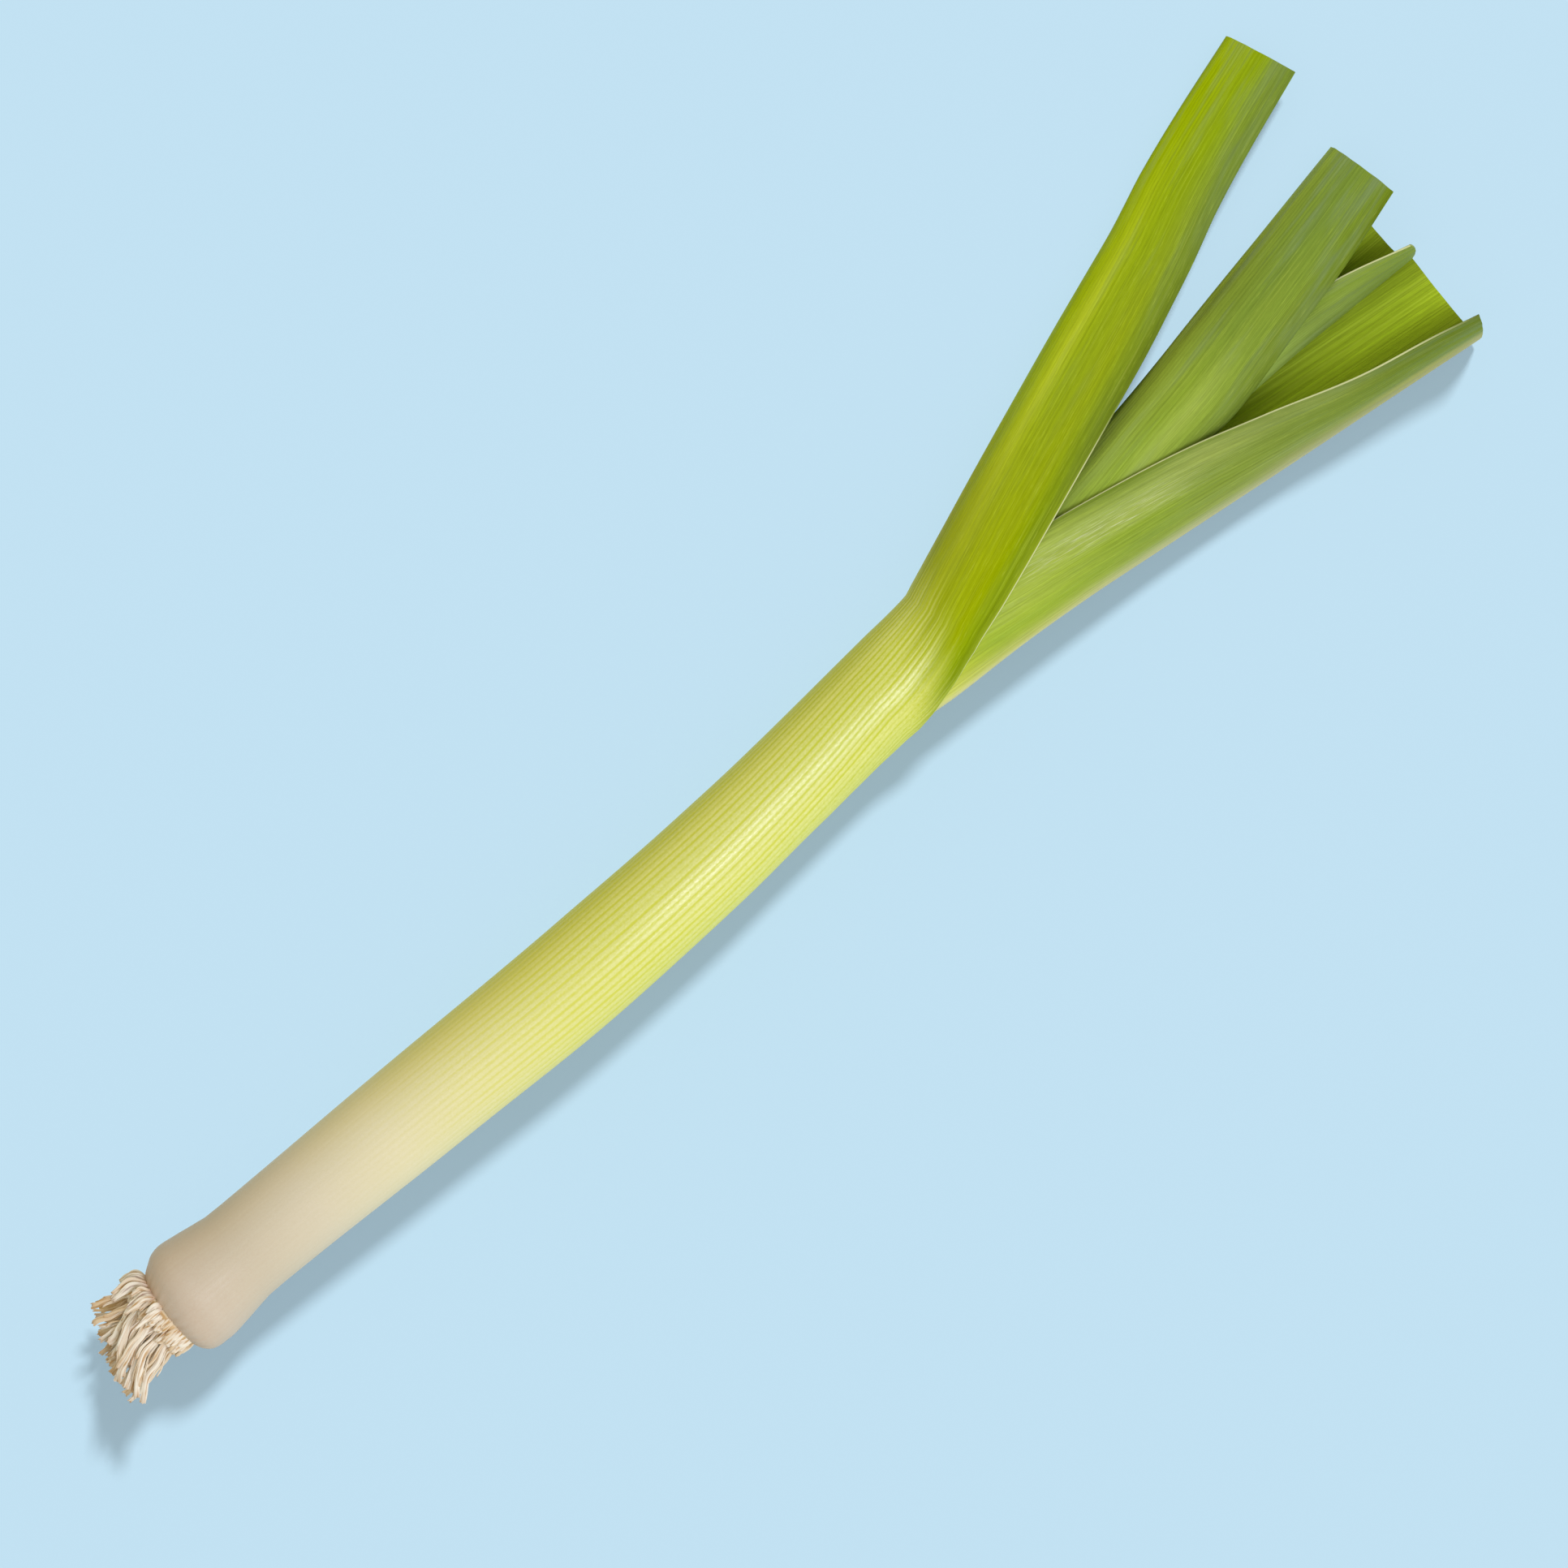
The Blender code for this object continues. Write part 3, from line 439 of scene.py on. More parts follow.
def build_leaf(leaf, layer, keel_wall, materials):
    """A leaf as one closed mesh: outer and inner face, both cut ends, and rounded margins."""
    shape = LeafShape(leaf, layer, keel_wall)
    rows = leaf_rows(leaf)
    steps = leaf["steps"]
    columns = np.linspace(-1, 1, 2 * steps + 1)
    closed = int(np.sum(rows <= leaf["mouth"] + 1e-6))
    base = shape.surface(rows, columns)
    seam = (base[:closed, 0] + base[:closed, -1]) / 2
    base[:closed, 0] = seam
    base[:closed, -1] = seam
    normal = shape.normals(base, closed)
    veins = vein_numbers(leaf, shape, rows, columns)
    to_front, to_back = margin_distances(base)
    relief = leaf_relief(leaf, rows, columns, veins)[..., None]
    outer = base + normal * relief
    outer[..., 2] = np.maximum(outer[..., 2], SURFACE_CLEARANCE)
    wall = shape.wall(rows, columns)[..., None]
    inner = outer - normal * wall
    # Round the bulb the inner wall doesn't follow the outer one inwards, into the next leaf.
    bulb = rows < BULB_END
    inner[bulb] -= (normal * np.minimum(relief, 0))[bulb]
    count = outer.shape[0] * outer.shape[1]
    last = len(columns) - 1
    outer_id = np.arange(count).reshape(outer.shape[:2])
    inner_id = outer_id + count
    outer_id[:closed, last] = outer_id[:closed, 0]
    inner_id[:closed, last] = inner_id[:closed, 0]
    vertices = [outer.reshape(-1, 3), inner.reshape(-1, 3)]
    # The rounded margins: one row of points half-way through the leaf, a little proud.
    middle = (outer + inner) / 2
    edge_id = np.zeros((2, len(rows)), int)
    open_from = closed - 1
    if closed < len(rows):
        for end_index, (column, beside) in enumerate(((0, 1), (last, last - 1))):
            away = base[:, column] - base[:, beside]
            away /= np.maximum(np.linalg.norm(away, axis=1, keepdims=True), 1e-9)
            proud = MARGIN_PROUD * wall[:, column]
            proud[open_from] = 0
            edge = middle[:, column] + away * proud
            edge_id[end_index] = 2 * count + end_index * len(rows) + np.arange(len(rows))
            vertices.append(edge)
        edge_id[1, open_from] = edge_id[0, open_from]
    parts = MeshParts()
    flipped = leaf["side"] == LEFT
    x_m = (rows * MM).tolist()
    t_of = columns.tolist()
    vein_of = veins.tolist()
    front_of, back_of = to_front.tolist(), to_back.tolist()

    def place(r, c, depth):
        return (x_m[r], t_of[c], depth, vein_of[r][c], front_of[r][c], back_of[r][c])

    def quad(ids, places, slot, turned=False):
        parts.add([int(i) for i in ids], places, slot, flipped != turned)

    for r in range(len(rows) - 1):
        for c in range(last):
            ring = ((r, c), (r + 1, c), (r + 1, c + 1), (r, c + 1))
            quad([outer_id[i] for i in ring], [place(*i, 0.0) for i in ring], OUTER_SLOT)
            quad([inner_id[i] for i in ring], [place(*i, 1.0) for i in ring], INNER_SLOT, turned=True)
    for r, turned in ((0, True), (len(rows) - 1, False)):
        for c in range(last):
            quad([outer_id[r, c], inner_id[r, c], inner_id[r, c + 1], outer_id[r, c + 1]],
                 [place(r, c, 0.0), place(r, c, 1.0), place(r, c + 1, 1.0), place(r, c + 1, 0.0)],
                 CUT_SLOT, turned)
    if closed < len(rows):
        for end_index, column in enumerate((0, last)):
            turned = end_index == 0
            for r in range(open_from, len(rows) - 1):
                for near, far, depth in ((outer_id[:, column], edge_id[end_index], 0.0),
                                         (edge_id[end_index], inner_id[:, column], 0.5)):
                    quad([near[r], near[r + 1], far[r + 1], far[r]],
                         [place(r, column, depth), place(r + 1, column, depth),
                          place(r + 1, column, depth + 0.5), place(r, column, depth + 0.5)],
                         OUTER_SLOT, turned)
            r = len(rows) - 1
            quad([outer_id[r, column], inner_id[r, column], edge_id[end_index, r]],
                 [place(r, column, 0.0), place(r, column, 1.0), place(r, column, 0.5)],
                 CUT_SLOT, turned)
    return make_piece(leaf["piece"], np.concatenate(vertices) * MM, parts, materials,
                      ("leaf_place", "leaf_vein"))


def make_piece(name, vertices, parts, materials, place_names):
    """A mesh object from faces with corner places, three numbers to each attribute."""
    used, flat = np.unique([i for face in parts.faces for i in face], return_inverse=True)
    faces = []
    start = 0
    for face in parts.faces:
        faces.append(flat[start:start + len(face)].tolist())
        start += len(face)
    mesh = bpy.data.meshes.new(name)
    mesh.from_pydata(vertices[used].tolist(), [], faces)
    places = np.array([p for face in parts.places for p in face], np.float32)
    for index, place_name in enumerate(place_names):
        place = mesh.attributes.new(place_name, "FLOAT_VECTOR", "CORNER")
        place.data.foreach_set("vector", places[:, 3 * index:3 * index + 3].ravel())
    mesh.polygons.foreach_set("material_index", parts.slots)
    mesh.polygons.foreach_set("use_smooth", [True] * len(faces))
    mesh.set_sharp_from_angle(angle=math.radians(60))
    for material in materials:
        mesh.materials.append(material)
    mesh.update()
    piece = bpy.data.objects.new(name, mesh)
    bpy.context.scene.collection.objects.link(piece)
    return piece


# ---------------------------------------------------------------- materials


def srgb(red, green, blue):
    """A colour given as 0 to 255 in sRGB, as the linear RGBA that a shader takes."""
    def linear(value):
        value /= 255
        return value / 12.92 if value <= 0.04045 else ((value + 0.055) / 1.055) ** 2.4
    return (linear(red), linear(green), linear(blue), 1.0)


class Shader:
    """A material's node tree, with short calls for the nodes that this scene uses."""

    def __init__(self, name):
        self.material = bpy.data.materials.new(name)
        self.material.use_nodes = True
        self.tree = self.material.node_tree
        self.principled = self.tree.nodes["Principled BSDF"]

    def node(self, kind, **settings):
        made = self.tree.nodes.new(kind)
        for key, value in settings.items():
            setattr(made, key, value)
        return made

    def feed(self, socket, value):
        if isinstance(value, bpy.types.NodeSocket):
            self.tree.links.new(value, socket)
        else:
            socket.default_value = value

    def math(self, operation, first, second=0.0, third=0.0, clamp=False):
        made = self.node("ShaderNodeMath", operation=operation, use_clamp=clamp)
        for socket, value in zip(made.inputs, (first, second, third)):
            self.feed(socket, value)
        return made.outputs[0]

    def set(self, socket_name, value):
        """Set one socket of the surface shader to a plain value, or link it to a node's output."""
        self.feed(self.principled.inputs[socket_name], value)

    def times(self, first, second):
        return self.math("MULTIPLY", first, second)

    def plus(self, first, second, clamp=False):
        return self.math("ADD", first, second, clamp=clamp)

    def vary(self, value, noise, amount):
        """value moved up or down by a noise that lies round a half."""
        return self.plus(value, self.times(self.math("SUBTRACT", noise, 0.5), amount))

    def between(self, value, low, high, to_low=0.0, to_high=1.0):
        """Map value from low..high to to_low..to_high, smoothly and clamped."""
        made = self.node("ShaderNodeMapRange", interpolation_type="SMOOTHSTEP")
        for index, entry in enumerate((value, low, high, to_low, to_high)):
            self.feed(made.inputs[index], entry)
        return made.outputs[0]

    def ramp(self, value, stops, low=0.0, high=1.0):
        """A colour ramp over low..high; stops are (position in low..high, colour)."""
        scaled = self.node("ShaderNodeMapRange")
        for index, entry in enumerate((value, low, high, 0.0, 1.0)):
            self.feed(scaled.inputs[index], entry)
        made = self.node("ShaderNodeValToRGB")
        elements = made.color_ramp.elements
        while len(elements) < len(stops):
            elements.new(1.0)
        for element, (position, colour) in zip(elements, stops):
            element.position = (position - low) / (high - low)
            element.color = colour
        self.feed(made.inputs[0], scaled.outputs[0])
        return made.outputs[0]

    def mix(self, share, first, second, blend="MIX"):
        made = self.node("ShaderNodeMix", data_type="RGBA", blend_type=blend)
        self.feed(made.inputs[0], share)
        self.feed(made.inputs[6], first)
        self.feed(made.inputs[7], second)
        return made.outputs[2]

    def attribute(self, name):
        return self.node("ShaderNodeAttribute", attribute_name=name).outputs["Vector"]

    def split(self, vector):
        made = self.node("ShaderNodeSeparateXYZ")
        self.feed(made.inputs[0], vector)
        return made.outputs

    def join(self, x, y, z):
        made = self.node("ShaderNodeCombineXYZ")
        for socket, value in zip(made.inputs, (x, y, z)):
            self.feed(socket, value)
        return made.outputs[0]

    def noise(self, vector, scale, detail=3.0, roughness=0.5):
        made = self.node("ShaderNodeTexNoise")
        self.feed(made.inputs["Vector"], vector)
        made.inputs["Scale"].default_value = scale
        made.inputs["Detail"].default_value = detail
        made.inputs["Roughness"].default_value = roughness
        return made.outputs[0]

    def bump(self, height, distance, strength=1.0):
        made = self.node("ShaderNodeBump")
        made.inputs["Strength"].default_value = strength
        made.inputs["Distance"].default_value = distance
        self.feed(made.inputs["Height"], height)
        return made.outputs[0]


class LeafPlace:
    """What a leaf's attributes say at a point, as sockets."""

    def __init__(self, shader):
        place = shader.split(shader.attribute("leaf_place"))
        vein = shader.split(shader.attribute("leaf_vein"))
        self.x = place[0]                                   # metres along the leek
        self.t = place[1]                                   # -1 back margin, 0 keel, 1 front margin
        self.away = shader.math("ABSOLUTE", self.t)
        self.depth = place[2]                               # 0 outer face, 1 inner face
        self.vein = vein[0]
        self.margin = shader.math("MINIMUM", vein[1], vein[2])      # millimetres to a margin
        angle = shader.math("MULTIPLY", self.vein, math.pi)
        self.round = shader.join(self.x, shader.math("COSINE", angle), shader.math("SINE", angle))
        self.shader = shader

    def grain(self, along, around, detail, roughness=0.5):
        """Noise in the leaf's own frame, with its scale along the leaf and round it."""
        return self.shader.noise(stretched(self.shader, self.round, along, around), 1.0, detail, roughness)


def stretched(shader, vector, along, around):
    """vector scaled by along in its first part and by around in the other two."""
    made = shader.node("ShaderNodeVectorMath", operation="MULTIPLY")
    shader.feed(made.inputs[0], vector)
    made.inputs[1].default_value = (along, around, around)
    return made.outputs[0]


def blade(*stations):
    """The colours of a blade: at each x in metres, (|t|, red, green, blue) stops."""
    return [(x, [(t, srgb(*colour)) for t, *colour in stops]) for x, *stops in stations]


def sheath_stops(*stops):
    """The colours along the sheath: (x in metres, red, green, blue) stops."""
    return [(x, srgb(*colour)) for x, *colour in stops]


SHEATH_RIB = sheath_stops(
    (-0.234, 208, 190, 170), (-0.222, 215, 201, 182), (-0.205, 215, 203, 180),
    (-0.18, 226, 215, 190), (-0.15, 235, 226, 190), (-0.12, 236, 230, 174), (-0.09, 233, 231, 156),
    (-0.06, 232, 233, 148), (0.0, 231, 233, 146), (0.06, 224, 228, 124),
)
SHEATH_VEIN = sheath_stops(
    (-0.234, 202, 178, 154), (-0.222, 211, 193, 172), (-0.205, 211, 196, 172),
    (-0.18, 221, 209, 180), (-0.15, 230, 220, 172), (-0.12, 227, 221, 132), (-0.09, 221, 220, 100),
    (-0.06, 214, 216, 80), (0.0, 209, 213, 70), (0.06, 196, 203, 38),
)


def mixed_stations(s, x, away, stations):
    """Blend ramps over |t| that are given at several x."""
    colour = None
    for index, (station, stops) in enumerate(stations):
        ramp = s.ramp(away, stops)
        if colour is None:
            colour = ramp
        else:
            colour = s.mix(s.between(x, stations[index - 1][0], station), colour, ramp)
    return colour


def leaf_material(name, stations, green_from, green_length, bloom=0.0, keel_stripe=0.0, painted_keel_shade=0.0,
                  pale_margin=0.8, blade_shine=0.0, pale_from=0.0, pale_to=0.5, painted_glints=None):
    """The outer face of a leaf: a ribbed pale sheath that turns into a green blade.

    stations are (x, ramp over |t|) pairs for the blade's colour, and green_from is where the blade's
    green sets in, as (|t|, millimetres along X) pairs.
    """
    s = Shader(name)
    at = LeafPlace(s)
    drift = at.grain(9.0, 2.0, 2.0)
    quiver = at.grain(110.0, 6.0, 2.0)
    wavering = s.vary(at.vein, drift, 0.014)
    wavering = s.vary(wavering, quiver, 0.007)
    rib_wave = s.math("COSINE", s.times(wavering, math.pi * RIBS))
    rib = s.math("MULTIPLY_ADD", rib_wave, 0.5, 0.5)
    hair = at.grain(30.0, 130.0, 3.0, 0.6)
    fine = at.grain(16.0, 60.0, 4.0, 0.6)
    streak = at.grain(6.0, 20.0, 3.0, 0.55)
    blotch = at.grain(26.0, 3.0, 3.0, 0.5)
    cells = at.grain(1100.0, 70.0, 2.0)
    fleck = at.grain(170.0, 34.0, 3.0, 0.7)
    # the sheath: wide milky ribs with narrow grooves of uneven depth, faint towards the bulb
    strong = s.between(at.grain(4.0, 9.0, 2.0), 0.36, 0.62, 0.55, 1.15)
    groove = s.times(s.between(rib, 0.0, 0.60, 1.0, 0.0), strong)
    rib_show = s.between(at.x, -0.19, -0.075, 0.10, 1.0)
    beside = s.math("ABSOLUTE", s.math("COSINE", s.times(at.t, math.pi)))
    rib_show = s.times(rib_show, s.between(beside, 0.55, 1.0, 1.0, 0.45))
    rib_share = s.math("MULTIPLY_ADD", rib_show, 0.28, 0.5)
    rib_share = s.math("SUBTRACT", rib_share, s.times(s.times(groove, rib_show), 0.85))
    rib_share = s.vary(rib_share, streak, 0.9)
    milky = at.grain(1300.0, 26.0, 3.0, 0.6)
    milky = s.times(s.math("SUBTRACT", milky, 0.5), 1.5)
    rib_share = s.plus(rib_share, milky, clamp=True)
    groove_colour = s.ramp(at.x, SHEATH_VEIN, -0.234, 0.06)
    rib_colour = s.ramp(at.x, SHEATH_RIB, -0.234, 0.06)
    sheath = s.mix(rib_share, groove_colour, rib_colour)
    # painted shade: the side round the keel is multiplied darker and warmer, tan on the bulb and olive on
    # the shaft
    if painted_keel_shade:
        facing = s.between(s.math("COSINE", s.times(at.t, math.pi)), 0.15, 1.0)
        shade = s.mix(s.between(at.x, -0.20, -0.10), (0.93, 0.85, 0.77, 1), (0.86, 0.80, 0.46, 1))
        sheath = s.mix(s.times(facing, painted_keel_shade), sheath, shade, "MULTIPLY")
    # the blade
    green = mixed_stations(s, at.x, at.away, stations)
    vein = s.math("MULTIPLY_ADD", rib_wave, 0.035, 1.0)
    vein = s.vary(vein, fine, 0.55)
    vein = s.vary(vein, hair, 0.35)
    vein = s.vary(vein, streak, 0.45)
    vein = s.vary(vein, fleck, 0.55)
    green = s.mix(1.0, green, s.join(vein, vein, vein), "MULTIPLY")
    pale = s.times(s.between(fine, 0.56, 0.74), 0.30)
    pale = s.plus(pale, s.times(s.between(fleck, 0.60, 0.72), 0.22))
    green = s.mix(pale, green, srgb(200, 208, 96))
    if bloom:
        misted = s.times(s.between(blotch, 0.45, 0.7), s.between(at.x, 0.12, 0.25, 0.2, 1.0))
        green = s.mix(s.times(misted, bloom), green, srgb(134, 156, 122))
    start = s.ramp(at.away, [(a, (p / 1000 + 0.1,) * 3 + (1.0,)) for a, p in green_from])
    start = s.math("SUBTRACT", start, 0.1)
    start = s.vary(start, streak, 0.022)
    greenness = s.between(s.math("SUBTRACT", at.x, start), 0.0, green_length / 1000)
    colour = s.mix(greenness, sheath, green)
    # painted highlight: pale dashes of glint mixed into the colour over a patch of the blade
    if painted_glints:
        (x_from, x_to), (t_from, t_to) = painted_glints
        dashes = at.grain(110.0, 44.0, 3.0, 0.65)
        patch = s.times(s.between(at.x, x_from, x_from + 0.02),
                       s.between(at.x, x_to - 0.04, x_to, 1.0, 0.0))
        patch = s.times(patch, s.between(at.away, t_from, t_from + 0.10))
        patch = s.times(patch, s.between(at.away, t_to - 0.10, t_to, 1.0, 0.0))
        colour = s.mix(s.times(patch, s.between(dashes, 0.50, 0.70, 0.0, 0.70)), colour,
                       srgb(222, 228, 184))
    if keel_stripe:
        stripe = s.times(s.between(at.away, 0.03, 0.17, 1.0, 0.0), keel_stripe)
        colour = s.mix(s.times(stripe, s.between(fine, 0.3, 0.6, 0.5, 1.0)), colour,
                       srgb(206, 200, 148))
    edge = s.times(s.between(at.margin, 0.0, 0.12, 1.0, 0.0), pale_margin)
    edge = s.times(edge, s.between(at.x, pale_from - 0.01, pale_from + 0.01))
    edge = s.times(edge, s.between(at.x, pale_to - 0.02, pale_to + 0.01, 1.0, 0.0))
    colour = s.mix(edge, colour, srgb(224, 228, 172))
    s.set("Base Color", colour)
    gloss = s.math("MULTIPLY_ADD", s.math("SUBTRACT", fine, 0.5), 0.25, 0.40)
    gloss = s.vary(gloss, cells, 0.3)
    s.set("Roughness", gloss)
    s.set("Specular IOR Level", 0.06)
    s.set("Specular Tint", (1.0, 1.0, 0.30, 1.0))
    height = s.plus(s.times(hair, 0.5), s.times(cells, 0.5))
    s.set("Normal", s.bump(height, 0.00012, 0.8))
    # the waxy skin of the sheath shines in small broken patches, the blade only in fine streaks
    waxy = s.times(s.between(at.x, -0.085, -0.02, 0.20, 1.0), s.math("SUBTRACT", 1.0, greenness))
    waxy = s.times(waxy, s.between(beside, 0.55, 0.95, 1.0, 0.15))
    glint = s.times(waxy, s.between(cells, 0.38, 0.62, 0.30, 1.0))
    glint = s.times(glint, s.math("MULTIPLY_ADD", rib, 0.5, 0.5))
    shine = s.times(s.between(hair, 0.55, 0.7), blade_shine)
    shine = s.times(shine, s.between(at.x, 0.15, 0.19, 1.0, 0.2))
    glint = s.plus(glint, s.times(shine, greenness), clamp=True)
    s.set("Coat Weight", glint)
    s.set("Coat Roughness", 0.30)
    s.set("Coat IOR", 1.8)
    s.set("Coat Normal", s.bump(height, 0.00006, 1.0))
    return s.material


def inner_material(name, foot, tip, lift=((0.0, 1.0), (1.0, 1.0))):
    """The inner face of a leaf: bright yellow-green with darker veins, paler towards the shaft.

    lift is how much brighter the face is, as (|t|, factor up to 2) pairs; it paints light and shade across
    the face.
    """
    s = Shader(name)
    at = LeafPlace(s)
    fine = at.grain(12.0, 60.0, 4.0, 0.6)
    streak = at.grain(5.0, 18.0, 3.0, 0.55)
    fleck = at.grain(150.0, 34.0, 3.0, 0.7)
    rib_wave = s.math("COSINE", s.times(at.vein, math.pi * RIBS))
    green = s.mix(s.between(at.x, 0.10, 0.24), foot, tip)
    # painted light and shade: the face is lightened or darkened by |t|
    bright = s.ramp(at.away, [(position, (factor / 2,) * 3 + (1.0,)) for position, factor in lift])
    bright = s.times(bright, 2.0)
    green = s.mix(1.0, green, s.join(bright, bright, bright), "MULTIPLY")
    vein = s.math("MULTIPLY_ADD", rib_wave, 0.06, 1.0)
    vein = s.vary(vein, fine, 0.9)
    vein = s.vary(vein, streak, 0.9)
    vein = s.vary(vein, fleck, 0.6)
    green = s.mix(1.0, green, s.join(vein, vein, vein), "MULTIPLY")
    green = s.mix(s.times(s.between(streak, 0.5, 0.7), 0.25), green, srgb(190, 204, 80))
    colour = s.mix(s.between(at.x, 0.0, 0.09), srgb(228, 228, 168), green)
    s.set("Base Color", colour)
    s.set("Roughness", s.math("MULTIPLY_ADD", fine, 0.3, 0.3))
    s.set("Specular IOR Level", 0.12)
    s.set("Specular Tint", (1.0, 1.0, 0.30, 1.0))
    s.set("Normal", s.bump(fine, 0.0002, 0.8))
    return s.material


def cut_material(name, skin, flesh):
    """A cut end or a sheath's foot: pale flesh between two green skins."""
    s = Shader(name)
    at = LeafPlace(s)
    middle = s.times(s.between(at.depth, 0.0, 0.35), s.between(at.depth, 0.65, 1.0, 1.0, 0.0))
    dots = s.math("COSINE", s.times(at.vein, math.pi * RIBS))
    grain = at.grain(500.0, 90.0, 3.0)
    share = s.times(middle, s.math("MULTIPLY_ADD", dots, 0.2, 0.75))
    colour = s.mix(s.times(share, s.between(grain, 0.2, 0.6, 0.6, 1.0)), skin, flesh)
    s.set("Base Color", colour)
    s.set("Roughness", s.math("MULTIPLY_ADD", grain, 0.3, 0.3))
    s.set("Normal", s.bump(grain, 0.0002, 0.5))
    return s.material


# painted light: at 0.085 and 0.15 the keel edge, |t| up to 0.17, is lightened against the shading it gets as
# it turns from the key lamp
OUTER_BLADE = blade(
    (0.085, (0.0, 168, 162, 10), (0.17, 156, 162, 10), (0.42, 166, 176, 30), (0.62, 160, 174, 18),
     (0.79, 160, 176, 0), (0.9, 138, 160, 0), (0.95, 128, 149, 8), (1.0, 146, 166, 34)),
    (0.15, (0.0, 166, 184, 0), (0.17, 152, 171, 0), (0.3, 170, 188, 18), (0.42, 190, 205, 44),
     (0.53, 164, 184, 26), (0.62, 152, 172, 28), (0.79, 156, 174, 24), (0.88, 136, 157, 34),
     (0.95, 120, 141, 32), (1.0, 112, 132, 36)),
    (0.235, (0.0, 144, 163, 10), (0.17, 160, 181, 0), (0.3, 162, 184, 0), (0.5, 156, 179, 8),
     (0.7, 148, 173, 20), (0.8, 140, 165, 44), (0.9, 126, 150, 52), (1.0, 120, 144, 54)),
)
# painted shade: at 0.135 the blade darkens towards its margin, |t| 0.86 to 1
RIGHT_BLADE = blade(
    (0.055, (0.0, 244, 240, 160), (0.1, 225, 224, 120), (0.17, 208, 212, 92), (0.3, 190, 200, 60),
     (0.5, 200, 206, 80), (0.75, 178, 191, 52), (1.0, 162, 178, 30)),
    (0.08, (0.0, 228, 226, 150), (0.1, 212, 212, 122), (0.17, 194, 198, 98), (0.29, 165, 183, 64),
     (0.38, 157, 182, 52), (0.5, 166, 186, 66), (0.95, 172, 190, 80), (1.0, 150, 170, 66)),
    (0.135, (0.0, 190, 190, 136), (0.17, 184, 188, 126), (0.31, 146, 165, 68), (0.42, 135, 158, 56),
     (0.6, 140, 164, 52), (0.71, 164, 182, 84), (0.78, 164, 182, 92), (0.86, 152, 171, 82),
     (0.92, 142, 162, 66), (1.0, 112, 135, 36)),
    (0.158, (0.0, 184, 184, 130), (0.17, 178, 182, 122), (0.31, 146, 161, 78), (0.42, 134, 153, 62),
     (0.6, 130, 151, 56), (0.74, 134, 154, 68), (0.84, 154, 171, 82), (0.93, 148, 165, 84),
     (1.0, 126, 146, 60)),
    (0.185, (0.0, 182, 182, 126), (0.17, 178, 178, 120), (0.31, 157, 163, 94), (0.42, 139, 154, 74),
     (0.6, 122, 142, 56), (0.75, 122, 142, 54), (0.88, 132, 151, 68), (1.0, 132, 149, 74)),
    (0.23, (0.0, 184, 178, 100), (0.17, 180, 176, 108), (0.31, 172, 172, 102), (0.41, 158, 163, 84),
     (0.5, 124, 141, 56), (0.6, 120, 139, 46), (0.75, 108, 128, 36), (0.88, 102, 122, 34),
     (1.0, 100, 118, 40)),
)
# painted light: the station at 0.13 is lighter, against the shade that leaf 1 casts beside it
LEFT_BLADE = blade(
    (0.13, (0.0, 200, 214, 106), (0.17, 192, 211, 86), (0.31, 168, 190, 72), (0.42, 164, 187, 74),
     (0.6, 152, 178, 60), (0.72, 168, 190, 82), (0.82, 156, 180, 68), (0.9, 138, 161, 58),
     (1.0, 110, 130, 48)),
    (0.165, (0.0, 170, 185, 84), (0.17, 166, 186, 66), (0.31, 148, 170, 56), (0.42, 151, 174, 64),
     (0.6, 145, 170, 54), (0.72, 165, 187, 80), (0.82, 152, 176, 66), (0.9, 134, 157, 56),
     (1.0, 106, 126, 46)),
    (0.2, (0.0, 150, 168, 60), (0.17, 136, 156, 52), (0.31, 130, 151, 52), (0.42, 132, 155, 54),
     (0.6, 128, 153, 56), (0.72, 138, 162, 58), (0.82, 133, 158, 56), (0.9, 127, 150, 50),
     (1.0, 120, 142, 48)),
    (0.235, (0.0, 176, 197, 78), (0.17, 146, 169, 62), (0.42, 131, 156, 56), (0.6, 125, 151, 58),
     (0.8, 129, 154, 56), (0.9, 122, 146, 42), (1.0, 112, 134, 30)),
)
# painted light: these colours are lightened against the shade that leaf 3 casts over this narrow strip
FOURTH_BLADE = blade(
    (0.188, (0.0, 182, 207, 100), (0.6, 176, 202, 90), (0.8, 174, 202, 84), (0.9, 168, 197, 78),
     (1.0, 166, 192, 78)),
    (0.215, (0.0, 150, 171, 84), (0.3, 150, 173, 82), (0.6, 146, 169, 74), (0.8, 142, 167, 62),
     (0.9, 144, 167, 66), (0.96, 142, 163, 72), (1.0, 140, 158, 80)),
)


